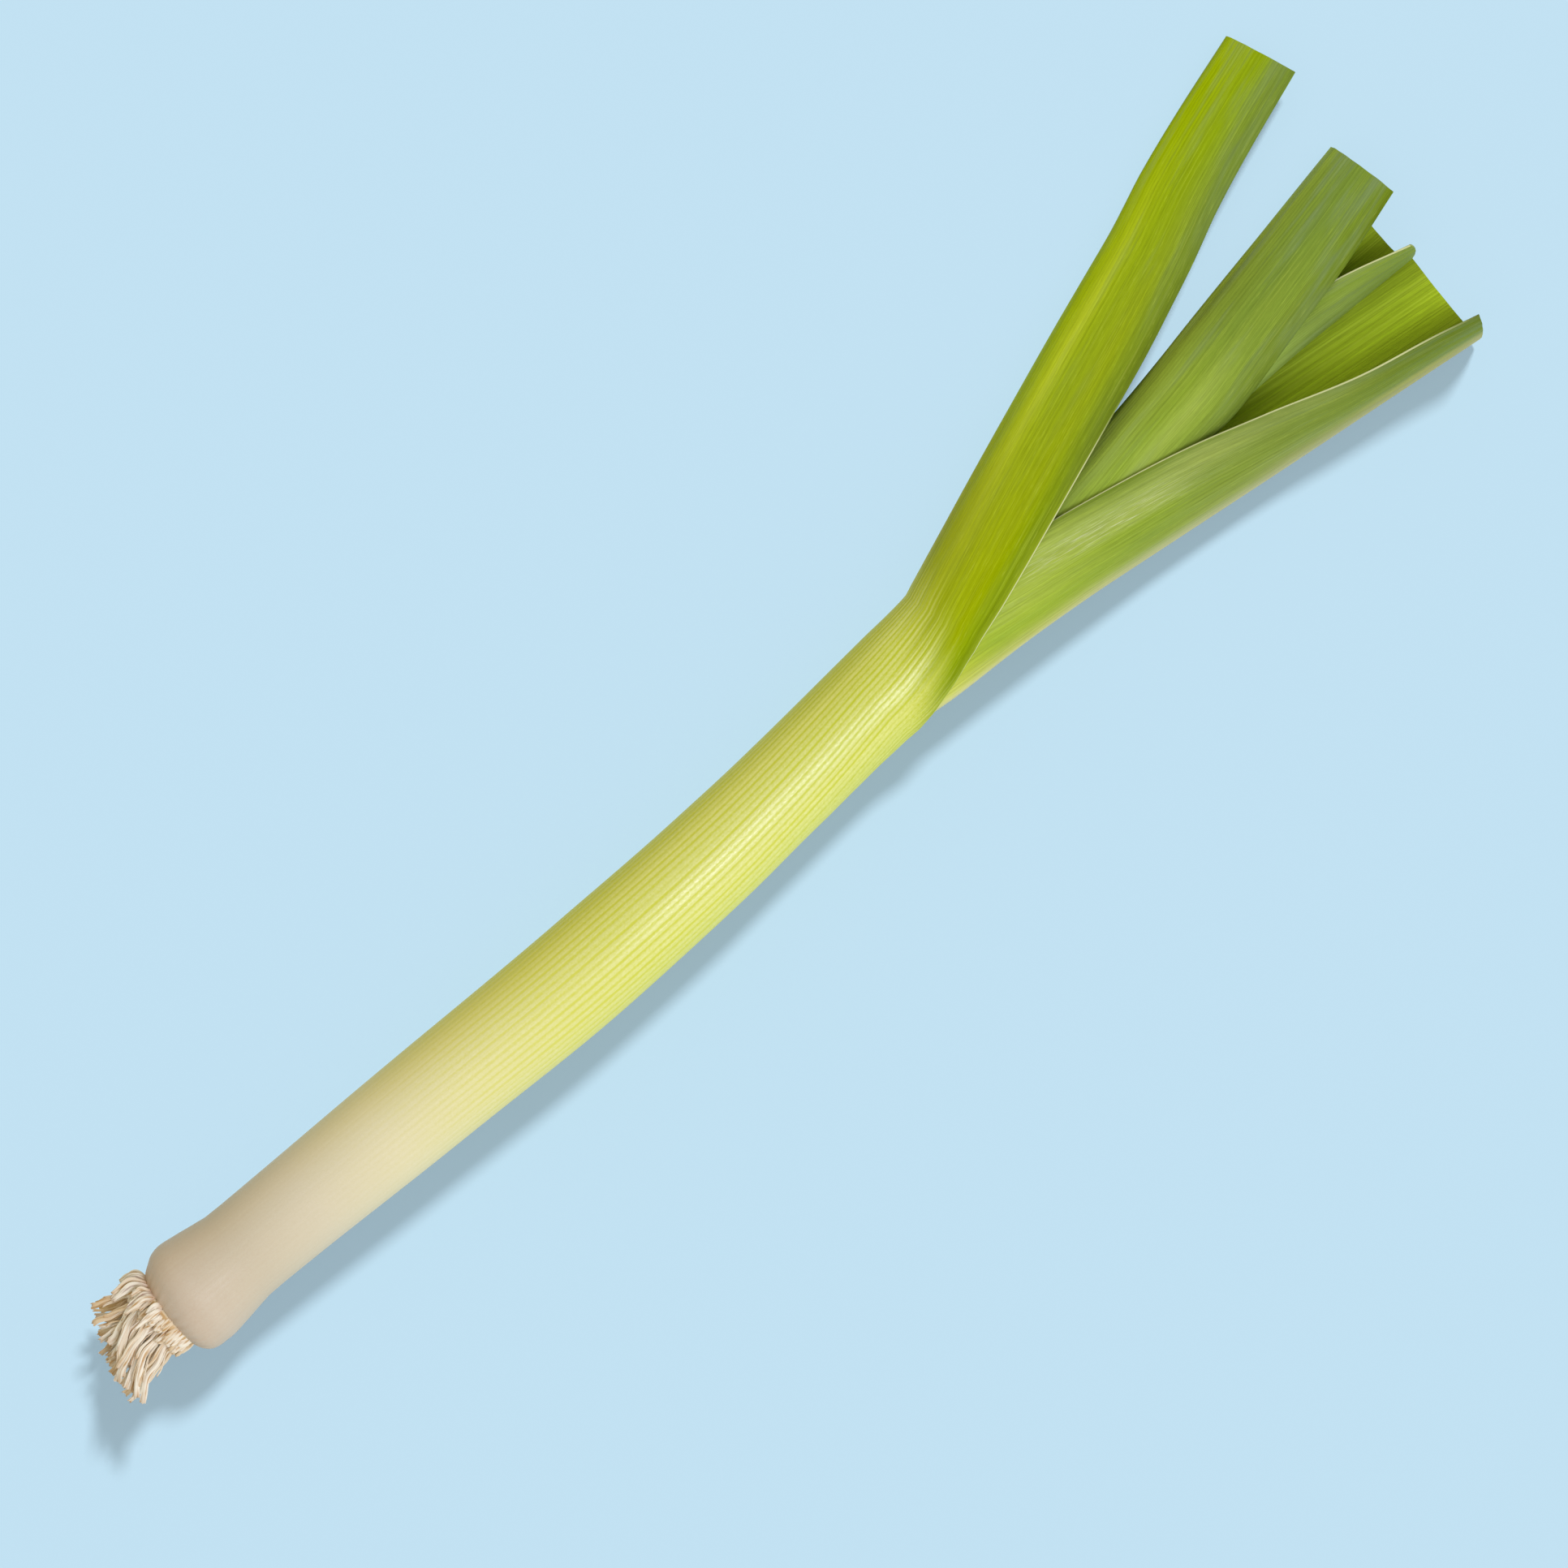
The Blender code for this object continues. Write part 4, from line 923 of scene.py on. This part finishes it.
def leaf_materials():
    """For each leaf, its outer, inner and cut materials."""
    cut = cut_material("cut_flesh", srgb(140, 160, 40), srgb(200, 206, 120))
    young = dict(stations=LEFT_BLADE, green_length=90, green_from=[(0.0, 60), (1.0, 60)])
    special = {
        # leaf 1 gets painted shade on the keel side of its sheath
        "leaf_1_outer": dict(stations=OUTER_BLADE, green_length=28, bloom=0.25, painted_keel_shade=1.0,
                             pale_to=0.142,
                             green_from=[(0.0, 63), (0.3, 58), (0.6, 49), (0.85, 41), (1.0, 36)]),
        # leaf 2 gets painted glints on its blade
        "leaf_2_right": dict(stations=RIGHT_BLADE, green_length=36, bloom=0.25, keel_stripe=0.7,
                             green_from=[(0.0, 20), (1.0, 10)], blade_shine=0.5, pale_to=0.238,
                             painted_glints=((0.086, 0.165), (0.60, 0.88))),
        "leaf_3_left": dict(stations=LEFT_BLADE, green_length=40, bloom=0.45, pale_to=0.125,
                            green_from=[(0.0, 40), (1.0, 40)], blade_shine=0.2),
        "leaf_4_right": dict(stations=FOURTH_BLADE, green_length=40, bloom=0.35, pale_from=0.215,
                             green_from=[(0.0, 60), (1.0, 60)]),
    }
    made = {}
    for leaf in LEAVES:
        settings = special.get(leaf["name"], young)
        inside = dict(foot=srgb(150, 170, 40), tip=srgb(150, 172, 36))
        # painted light and shade on leaf 2's inner face: lighter across its middle, darker towards the keel
        # and the margin
        if leaf["name"] == "leaf_2_right":
            inside["lift"] = [(0.0, 0.8), (0.42, 0.85), (0.50, 1.1), (0.57, 1.6), (0.66, 1.75),
                              (0.75, 1.45), (0.86, 1.0), (1.0, 0.75)]
        made[leaf["name"]] = [leaf_material(leaf["piece"] + "_face", **settings),
                              inner_material(leaf["piece"] + "_inside", **inside), cut]
    return made


# ---------------------------------------------------------------- leaves


def build_heart(layer, material):
    """The innermost rolled leaf, a slim pointed spear."""
    radius_share, shift_share = layer

    def joined(sheath_value, keys):
        lead_in = [(x, float(sheath_value(x))) for x in (SHEATH_END - 25, SHEATH_END)]
        curve = smooth_curve(lead_in + keys)
        return lambda x: np.where(x <= SHEATH_END, sheath_value(x), curve(x))

    radius = joined(lambda x: radius_share * shaft_radius(x), HEART_RADIUS)
    sideways = joined(lambda x: axis_sideways(x) + shift_share * shaft_radius(x), HEART_SIDEWAYS)
    height = joined(axis_height, HEART_HEIGHT)
    rows = np.concatenate([np.linspace(SHEATH_START, SHEATH_END, 40),
                           np.linspace(SHEATH_END, HEART_RADIUS[-1][0], 70)[1:]])
    sides = 32
    angle = np.linspace(0, 2 * math.pi, sides, endpoint=False)
    turn = np.radians(axis_turn(rows))[:, None]
    out = radius(rows)[:, None] * (1 + 0.04 * np.cos(5 * angle) + 0.03 * np.cos(9 * angle + 1))[None, :]
    points = np.stack([rows[:, None] - np.sin(turn) * out * np.cos(angle),
                       sideways(rows)[:, None] + np.cos(turn) * out * np.cos(angle),
                       height(rows)[:, None] + out * np.sin(angle)], -1)
    vertices = list(points.reshape(-1, 3))
    parts = MeshParts()

    def place(r, k):
        around = 2 * k / sides - 1
        return (float(rows[r]) * MM, around, 0.0, around, 9.0, 9.0)

    for r in range(len(rows) - 1):
        for k in range(sides):
            n = (k + 1) % sides
            parts.add([r * sides + k, r * sides + n, (r + 1) * sides + n, (r + 1) * sides + k],
                      [place(r, k), place(r, k + 1), place(r + 1, k + 1), place(r + 1, k)], 0, True)
    for r, step in ((0, 0.0), (len(rows) - 1, 0.4)):
        hub = len(vertices)
        vertices.append(points[r].mean(0) + np.array([step, 0, 0]))
        for k in range(sides):
            parts.add([r * sides + k, hub, r * sides + (k + 1) % sides],
                      [place(r, k), place(r, k), place(r, k + 1)], 0, r == 0)
    return make_piece("heart_spear", np.array(vertices) * MM, parts, [material],
                      ("leaf_place", "leaf_vein"))


def stand_for(piece, node):
    """Let a piece ride on the leek's one body, in the place of a CAD node."""
    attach(piece, "root")
    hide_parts(node)


layers = sheath_layers()
materials = leaf_materials()
for leaf, layer, keel_wall in zip(LEAVES, layers, KEEL_WALLS):
    piece = build_leaf(leaf, layer, keel_wall, materials[leaf["name"]])
    stand_for(piece, leaf["name"])
piece = build_heart(layers[-1], materials["leaf_7_young"][0])
stand_for(piece, "leaf_8_heart")


# ---------------------------------------------------------------- roots


def root_frame():
    """The middle of the roots' bases, and the directions along and across them."""
    start_x = SHEATH_START - 2 * SHEATH_GAP - PLATE_THICKNESS
    turn = math.radians(float(axis_turn(start_x)))
    forward = np.array([math.cos(turn), math.sin(turn), 0])
    across = np.array([-math.sin(turn), math.cos(turn), 0])
    return np.array([start_x, float(axis_sideways(start_x)), float(axis_height(start_x))]), forward, across


def root_bases():
    """Where the roots leave the plate, packed like the seeds of a sunflower."""
    golden_angle = math.pi * (3 - math.sqrt(5))
    bases = []
    for index in range(ROOT_COUNT):
        distance = (PLATE_RADIUS - ROOT_EDGE) * math.sqrt((index + 0.5) / ROOT_COUNT)
        bases.append((distance * math.cos(index * golden_angle), distance * math.sin(index * golden_angle)))
    return bases


def sweep_strand(path, halves, turns, creases, torn, seed, tone, sides=22):
    """A closed strand along path: halves are its half width and thickness, turns its roll in radians.

    Returns vertices, faces and the corner places (share along it, depth of its creases, tone).
    """
    dice = random.Random(seed)
    rings = len(path)
    along = np.gradient(path, axis=0)
    along /= np.linalg.norm(along, axis=1, keepdims=True)
    flat = np.cross(along, [0, 0, 1.0])
    flat /= np.linalg.norm(flat, axis=1, keepdims=True)
    up = np.cross(flat, along)
    angle = np.linspace(0, 2 * math.pi, sides, endpoint=False)
    shape = 1 + 0 * angle
    for waves, size in creases:
        shape = shape + size * np.cos(waves * angle + dice.uniform(0, 6.28))
    share = np.linspace(0, 1, rings)
    drift = 1 + 0.12 * np.sin(2 * math.pi * (share[:, None] * dice.uniform(1, 2.4) + dice.random())
                              + 2 * angle[None, :])
    shape = shape[None, :] * drift
    wide = halves[:, :1] * np.cos(angle)[None, :] * shape
    thick = halves[:, 1:] * np.sin(angle)[None, :] * shape
    roll = turns[:, None]
    a = wide * np.cos(roll) - thick * np.sin(roll)
    b = wide * np.sin(roll) + thick * np.cos(roll)
    points = path[:, None] + flat[:, None] * a[..., None] + up[:, None] * b[..., None]
    teeth = np.array([dice.uniform(-1, 1) for _ in range(sides)])
    teeth = 0.6 * teeth + 0.4 * np.cos(2 * angle + dice.uniform(0, 6.28))
    for back in range(3):
        points[rings - 1 - back] += along[-1] * (torn * teeth * (1 - back / 3))[:, None]
    vertices = list(points.reshape(-1, 3))
    faces, places = [], []
    crease = (shape - shape.min()) / (shape.max() - shape.min())
    for r in range(rings - 1):
        for k in range(sides):
            n = (k + 1) % sides
            faces.append([r * sides + k, r * sides + n, (r + 1) * sides + n, (r + 1) * sides + k])
            places.append([(share[r], crease[r, k], tone), (share[r], crease[r, n], tone),
                           (share[r + 1], crease[r + 1, n], tone),
                           (share[r + 1], crease[r + 1, k], tone)])
    for ring, inset in ((0, 0.0), (rings - 1, -0.9 * torn)):
        middle = points[ring].mean(0) + along[ring] * inset
        hub = len(vertices)
        vertices.append(middle)
        for k in range(sides):
            n = (k + 1) % sides
            corner = [ring * sides + k, hub, ring * sides + n]
            if ring:
                corner = corner[::-1]
            faces.append(corner)
            places.append([(share[ring], 0.2, tone)] * 3)
    return np.array(vertices), faces, places


def join_strand(parts, vertices, strand):
    """Add a swept strand's faces and vertices to a piece's."""
    more, faces, places = strand
    for face, place in zip(faces, places):
        parts.add([i + len(vertices) for i in face], place, 0, False)
    vertices.extend(more)


def root_path(base, length, sway, dice):
    """The CAD root's course with the small kinks of a dry root; on the left it swings out sooner."""
    centre, forward, across = root_frame()
    sideways, up = base
    rising = min(max(up / ROOT_LEAN_HEIGHT, 0), 1)
    leaning = rising * rising * (3 - 2 * rising)
    spread = (ROOT_FAN_LEFT - 1) * (1 - leaning) if sideways > 0 else ROOT_FAN_RIGHT - 1
    bend = sideways * spread - ROOT_LEAN * leaning + sway
    share = np.linspace(0, 1, 28)
    leftness = max(sideways, 0) / PLATE_RADIUS
    early = 0.75 * leftness ** 2 if bend > 0 else 0.0
    course = bend * ((1 - early) * share ** 2 + early * smooth_step(0, 0.4, share))
    wobble = np.zeros_like(share)
    lift = np.zeros_like(share)
    for waves in (0.8, 1.5, 2.6):
        wobble += dice.uniform(0.2, 0.7) / waves * np.sin(2 * math.pi * (waves * share + dice.random()))
        lift += dice.uniform(0.15, 0.55) / waves * np.sin(2 * math.pi * (waves * share + dice.random()))
    settle = smooth_step(0, 0.25, share)
    path = (centre - forward * (length * share - 0.8)[:, None]
            + across * (sideways + course + wobble * settle)[:, None])
    path[:, 2] += up + lift * settle
    return path


def build_root(index, base, length, sway, material):
    """A root: a flat, creased strand with thinner fibres that cross it."""
    dice = random.Random(500 + index)
    path = root_path(base, length, sway, dice)
    share = np.linspace(0, 1, len(path))
    across = root_frame()[2]
    parts = MeshParts()
    vertices = []
    leftness = max(base[0], 0) / PLATE_RADIUS
    # painted shade: the lower a root starts, the lower its tone and the darker its colour
    painted_height_shade = 0.55 + 0.4 * base[1] / PLATE_RADIUS
    for strand in range(4):
        if strand == 0:
            width, thick, sides = dice.uniform(0.75, 1.15) * (1 + 0.25 * leftness), 0.55, 22
        elif strand == 1:
            width, thick, sides = dice.uniform(0.4, 0.65), 0.4, 16
        else:
            width, thick, sides = dice.uniform(0.16, 0.32), 0.2, 10
        halves = np.stack([width * (1.12 - 0.3 * share + 0.16 * smooth_step(0.75, 1, share)),
                           thick * (1 - 0.35 * share)], 1)
        halves *= (1 - 0.35 * (1 - smooth_step(0, 0.06, share)))[:, None]
        turns = dice.uniform(-0.35, 0.35) + dice.choice((-1, 1)) * dice.uniform(0.1, 0.9) * share
        course = path
        if strand:
            from_aside = dice.uniform(-0.9, 0.9)
            to_aside = from_aside + dice.choice((-1, 1)) * dice.uniform(0.6, 2.6)
            rise = 0.35 * math.sin(1.0 + strand) + dice.uniform(0.1, 0.9)
            cut = int(len(path) * dice.uniform(0.6, 1.0))
            course = (path + across * (from_aside + (to_aside - from_aside) * share)[:, None]
                      + np.array([0, 0, 1]) * (rise * np.sin(math.pi * share ** 0.7))[:, None])[:cut]
            halves, turns = halves[:cut], turns[:cut]
        tone = min(max(painted_height_shade + dice.uniform(-0.3, 0.3), 0.0), 1.0)
        creases = [(3, 0.09), (5, 0.10), (8, 0.08)]
        seed = 900 + 4 * index + strand
        join_strand(parts, vertices, sweep_strand(course, halves, turns, creases, dice.uniform(0.3, 0.8),
                                                  seed, tone, sides))
    return make_piece("root_%02d_strand" % (index + 1), np.array(vertices) * MM, parts, [material],
                      ("root_place",))


def build_root_plate(material):
    """The stem's foot, with the knobby stubs that crowd its rim and the folded strands on its left."""
    centre, forward, across = root_frame()
    upward = np.array([0, 0, 1.0])
    profile = [(4.1, 10.4), (3.6, 11.2), (3.2, 11.6), (2.6, 11.7), (1.8, 11.5), (1.0, 11.0), (0.3, 10.2),
               (-0.3, 9.0), (-0.8, 6.0), (-0.9, 2.5)]
    sides = 144
    angle = np.linspace(0, 2 * math.pi, sides, endpoint=False)
    knob = 0.30 * np.abs(np.cos(17 * angle + 0.4 * np.sin(3 * angle))) + 0.12 * np.sin(7 * angle + 1)
    vertices = []
    for depth, radius in profile:
        bumpy = radius + knob * smooth_step(3.0, 1.8, np.full(sides, depth))
        ring = (centre + forward * depth + across * (bumpy * np.cos(angle))[:, None]
                + upward * (bumpy * np.sin(angle))[:, None])
        vertices += list(ring)
    parts = MeshParts()
    rings = len(profile)
    skin = (0.3, 0.75, 0.4)
    # painted shade: the plate's inner rings under its stubs take a deep crease and a low tone, so they come
    # out dark tan
    painted_shade_ring = (0.3, 0.22, 0.2)
    for r in range(rings - 1):
        near, far = (skin if row < 3 else painted_shade_ring for row in (r, r + 1))
        for k in range(sides):
            n = (k + 1) % sides
            parts.add([r * sides + k, (r + 1) * sides + k, (r + 1) * sides + n, r * sides + n],
                      [near, far, far, near], 0, True)
    for ring, step in ((0, 0.0), (rings - 1, -0.1)):
        hub = len(vertices)
        vertices.append(centre + forward * (profile[ring][0] + step))
        for k in range(sides):
            n = (k + 1) % sides
            parts.add([ring * sides + k, hub, ring * sides + n], [painted_shade_ring] * 3, 0, ring == 0)
    dice = random.Random(77)
    share = np.linspace(0, 1, 10)[:, None]
    round_end = np.sqrt(np.clip(1 - (2 * share - 1) ** 6, 0.03, 1))
    rows = ((38, 11.3, 4.0, 5.8), (36, 11.0, 2.6, 5.4), (32, 9.9, 1.0, 4.8))
    for row, (count, radius, depth, length) in enumerate(rows):
        for k in range(count):
            around = 2 * math.pi * (k + 0.5 * row + dice.uniform(-0.25, 0.25)) / count
            out = across * math.cos(around) + upward * math.sin(around)
            leftness = max(math.cos(around), 0)
            reach = length * dice.uniform(0.7, 1.25)
            start = centre + forward * (depth + dice.uniform(-0.3, 0.3)) + out * (radius - 0.2)
            tilt = dice.uniform(0.06, 0.22) + 0.35 * leftness * dice.uniform(0.4, 1)
            path = start - forward * reach * share + out * (tilt * reach * share * (1 - 0.5 * share))
            path = path + across * dice.uniform(-0.7, 0.7) * share ** 2
            size = dice.uniform(0.65, 1.05)
            halves = np.concatenate([size * round_end * (1.1 - 0.25 * share), 0.8 * size * round_end], 1)
            turns = np.full(10, dice.uniform(-0.6, 0.6))
            tone = dice.uniform(0.35, 1.0)
            seed = 300 + 50 * row + k
            join_strand(parts, vertices, sweep_strand(path, halves, turns, [(3, 0.08), (5, 0.08)], 0.12,
                                                      seed, tone, 16))
    # broad folded strands that stand out on the left before they turn back along the leek
    share = np.linspace(0, 1, 24)[:, None]
    for k in range(11):
        around = math.radians(-8 + 8.5 * k + dice.uniform(-3, 3))
        out = across * math.cos(around) + upward * math.sin(around)
        leftness = math.cos(around)
        reach = (7.5 + 5.0 * dice.random()) * (1 if k % 3 else 0.6)
        bulge = (2.2 + 3.4 * leftness) * dice.uniform(0.75, 1.1)
        start = centre + forward * (3.6 + dice.uniform(-0.3, 0.3)) + out * 10.6
        outward = bulge * np.sin(math.pi / 2 * np.clip(share / 0.5, 0, 1))
        outward = outward + dice.uniform(-1.0, 1.4) * share ** 2
        path = start - forward * reach * (0.35 * share + 0.65 * share ** 1.6) + out * outward
        size = dice.uniform(0.7, 1.25)
        halves = np.concatenate([size * (0.75 + 0.5 * np.sin(math.pi * share) - 0.25 * share),
                                 0.42 - 0.15 * share], 1)
        turns = dice.uniform(-0.7, 0.7) + dice.uniform(-0.9, 0.9) * share[:, 0]
        torn = dice.uniform(0.3, 0.7)
        tone = 1.4 if k % 2 else dice.uniform(0.5, 1.0)
        join_strand(parts, vertices, sweep_strand(path, halves, turns, [(3, 0.12), (5, 0.12), (8, 0.08)],
                                                  torn, 700 + k, tone, 20))
    return make_piece("root_collar", np.array(vertices) * MM, parts, [material], ("root_place",))


def root_material(name, darker):
    """Dry root skin: cream ridges, tan creases that paint their shade, browner ends; folds of tone over 1
    are purple-brown.
    """
    s = Shader(name)
    place = s.split(s.attribute("root_place"))
    share, crease, tone = place[0], place[1], place[2]
    spot = s.node("ShaderNodeTexCoord").outputs["Object"]
    fine = s.noise(stretched(s, spot, 900.0, 1800.0), 1.0, 3.0)
    cloud = s.noise(spot, 260.0, 3.0)
    # painted shade: where a strand's crease is deep its colour turns tan, mixed with random cloud
    ridge = s.plus(s.times(crease, 0.7), s.times(cloud, 0.5), clamp=True)
    pale = s.mix(s.between(tone, 0.0, 0.9), srgb(222, 188, 136), srgb(250, 240, 222))
    tan = s.mix(cloud, srgb(208, 164, 98), srgb(176, 124, 60))
    tan = s.mix(s.between(tone, 1.1, 1.3), tan, srgb(156, 116, 100))
    colour = s.mix(s.between(ridge, 0.22, 0.66), tan, pale)
    colour = s.mix(s.times(s.between(share, 0.9, 1.0), 0.35), colour, srgb(186, 140, 84))
    colour = s.mix(s.times(s.between(share, 0.0, 0.3, 1.0, 0.0), darker), colour,
                   srgb(198, 152, 112))
    s.set("Base Color", colour)
    s.set("Roughness", s.math("MULTIPLY_ADD", fine, 0.3, 0.4))
    s.set("Normal", s.bump(s.plus(fine, cloud), 0.0001, 0.5))
    return s.material


strand_skin = root_material("root_skin", 0.25)
collar_skin = root_material("collar_skin", 0.75)
piece = build_root_plate(collar_skin)
stand_for(piece, "root_plate")
dice = random.Random(ROOT_SEED)
for index, base in enumerate(root_bases()):
    leftness = max(base[0], 0) / PLATE_RADIUS
    length = ROOT_LENGTH * (1 - ROOT_SHORTENING * leftness) * dice.uniform(0.82, 1.0)
    sway = dice.uniform(-ROOT_SWAY, ROOT_SWAY)
    piece = build_root(index, base, length, sway, strand_skin)
    stand_for(piece, "root_%02d" % (index + 1))


# ---------------------------------------------------------------- stage


def add_light(kind, name, toward, energy, lit, distance=0.0):
    """A lamp in the direction toward from the leek's middle, that lights only the collection lit."""
    data = bpy.data.lights.new(name, kind)
    data.energy = energy
    light = bpy.data.objects.new(name, data)
    direction = Vector(toward).normalized()
    light.location = direction * distance
    light.rotation_euler = direction.to_track_quat("Z", "Y").to_euler()
    bpy.context.scene.collection.objects.link(light)
    light.light_linking.receiver_collection = lit
    return data


def area_light(name, toward, distance, size, power, lit, colour):
    """A square soft light in the direction toward, with its distance and size in metres."""
    data = add_light("AREA", name, toward, power, lit, distance)
    data.size = size
    data.color = colour


def sun_light(name, toward, soft_degrees, strength, lit):
    """A sun in the direction toward, whose shadows soften over soft_degrees."""
    data = add_light("SUN", name, toward, strength, lit)
    data.angle = math.radians(soft_degrees)
    return data


def light_group(name, objects):
    """A collection for light linking, outside the scene's own."""
    group = bpy.data.collections.new(name)
    for entry in objects:
        group.objects.link(entry)
    return group


PAPER_SHARE = 0.20      # the paper is this much darker than it looks under its own bright lights
FLOOR_REACH = 9.0       # metres from the leek to the floor's edge
CAMERA_HEIGHT = 1.615
CAMERA_LENS = 124.2


def make_stage():
    """The floor, the lamps, the world and the camera, which looks straight down."""
    scene = bpy.context.scene
    leek = [entry for entry in scene.objects if entry.type == "MESH"]
    scene.view_settings.view_transform = "Standard"
    world = bpy.data.worlds.new("studio")
    world.use_nodes = True
    sky = world.node_tree.nodes["Background"].inputs
    sky["Color"].default_value = (1.0, 0.97, 0.82, 1.0)
    sky["Strength"].default_value = 0.56
    scene.world = world
    mesh = bpy.data.meshes.new("floor")
    corners = ((-1, -1), (1, -1), (1, 1), (-1, 1))
    mesh.from_pydata([(FLOOR_REACH * x, FLOOR_REACH * y, 0) for x, y in corners], [], [(0, 1, 2, 3)])
    paper = Shader("floor_paper")
    blue = srgb(192, 224, 243)
    paper.set("Base Color", [PAPER_SHARE * part for part in blue[:3]] + [1.0])
    paper.set("Roughness", 0.9)
    paper.set("Specular IOR Level", 0.1)
    mesh.materials.append(paper.material)
    floor = bpy.data.objects.new("floor", mesh)
    scene.collection.objects.link(floor)
    lit_leek = light_group("lit_leek", leek)
    lit_floor = light_group("lit_floor", [floor])
    area_light("key", (0.05, -0.40, 1.0), 1.3, 0.45, 8.06, lit_leek, (0.794, 0.829, 1.0))
    area_light("side", (0.0, -1.0, 0.30), 1.4, 0.6, 2.6, lit_leek, (1.0, 0.86, 0.60))
    area_light("warm", (0.0, 1.0, 0.25), 1.4, 0.6, 1.6, lit_leek, (1.0, 0.78, 0.22))
    sun_light("floor_key", (0.93, 0.38, 1.0), 9, 8.75, lit_floor)
    fill = sun_light("floor_fill", (0, 0, 1), 11, 7.8, lit_floor)
    fill.use_shadow = False
    camera_data = bpy.data.cameras.new("camera")
    camera_data.sensor_width = 36
    camera_data.lens = CAMERA_LENS
    camera = bpy.data.objects.new("camera", camera_data)
    camera.location = (0.0048, -0.0058, CAMERA_HEIGHT)
    camera.rotation_euler = (0, 0, math.radians(-45))
    scene.collection.objects.link(camera)
    scene.camera = camera


make_stage()
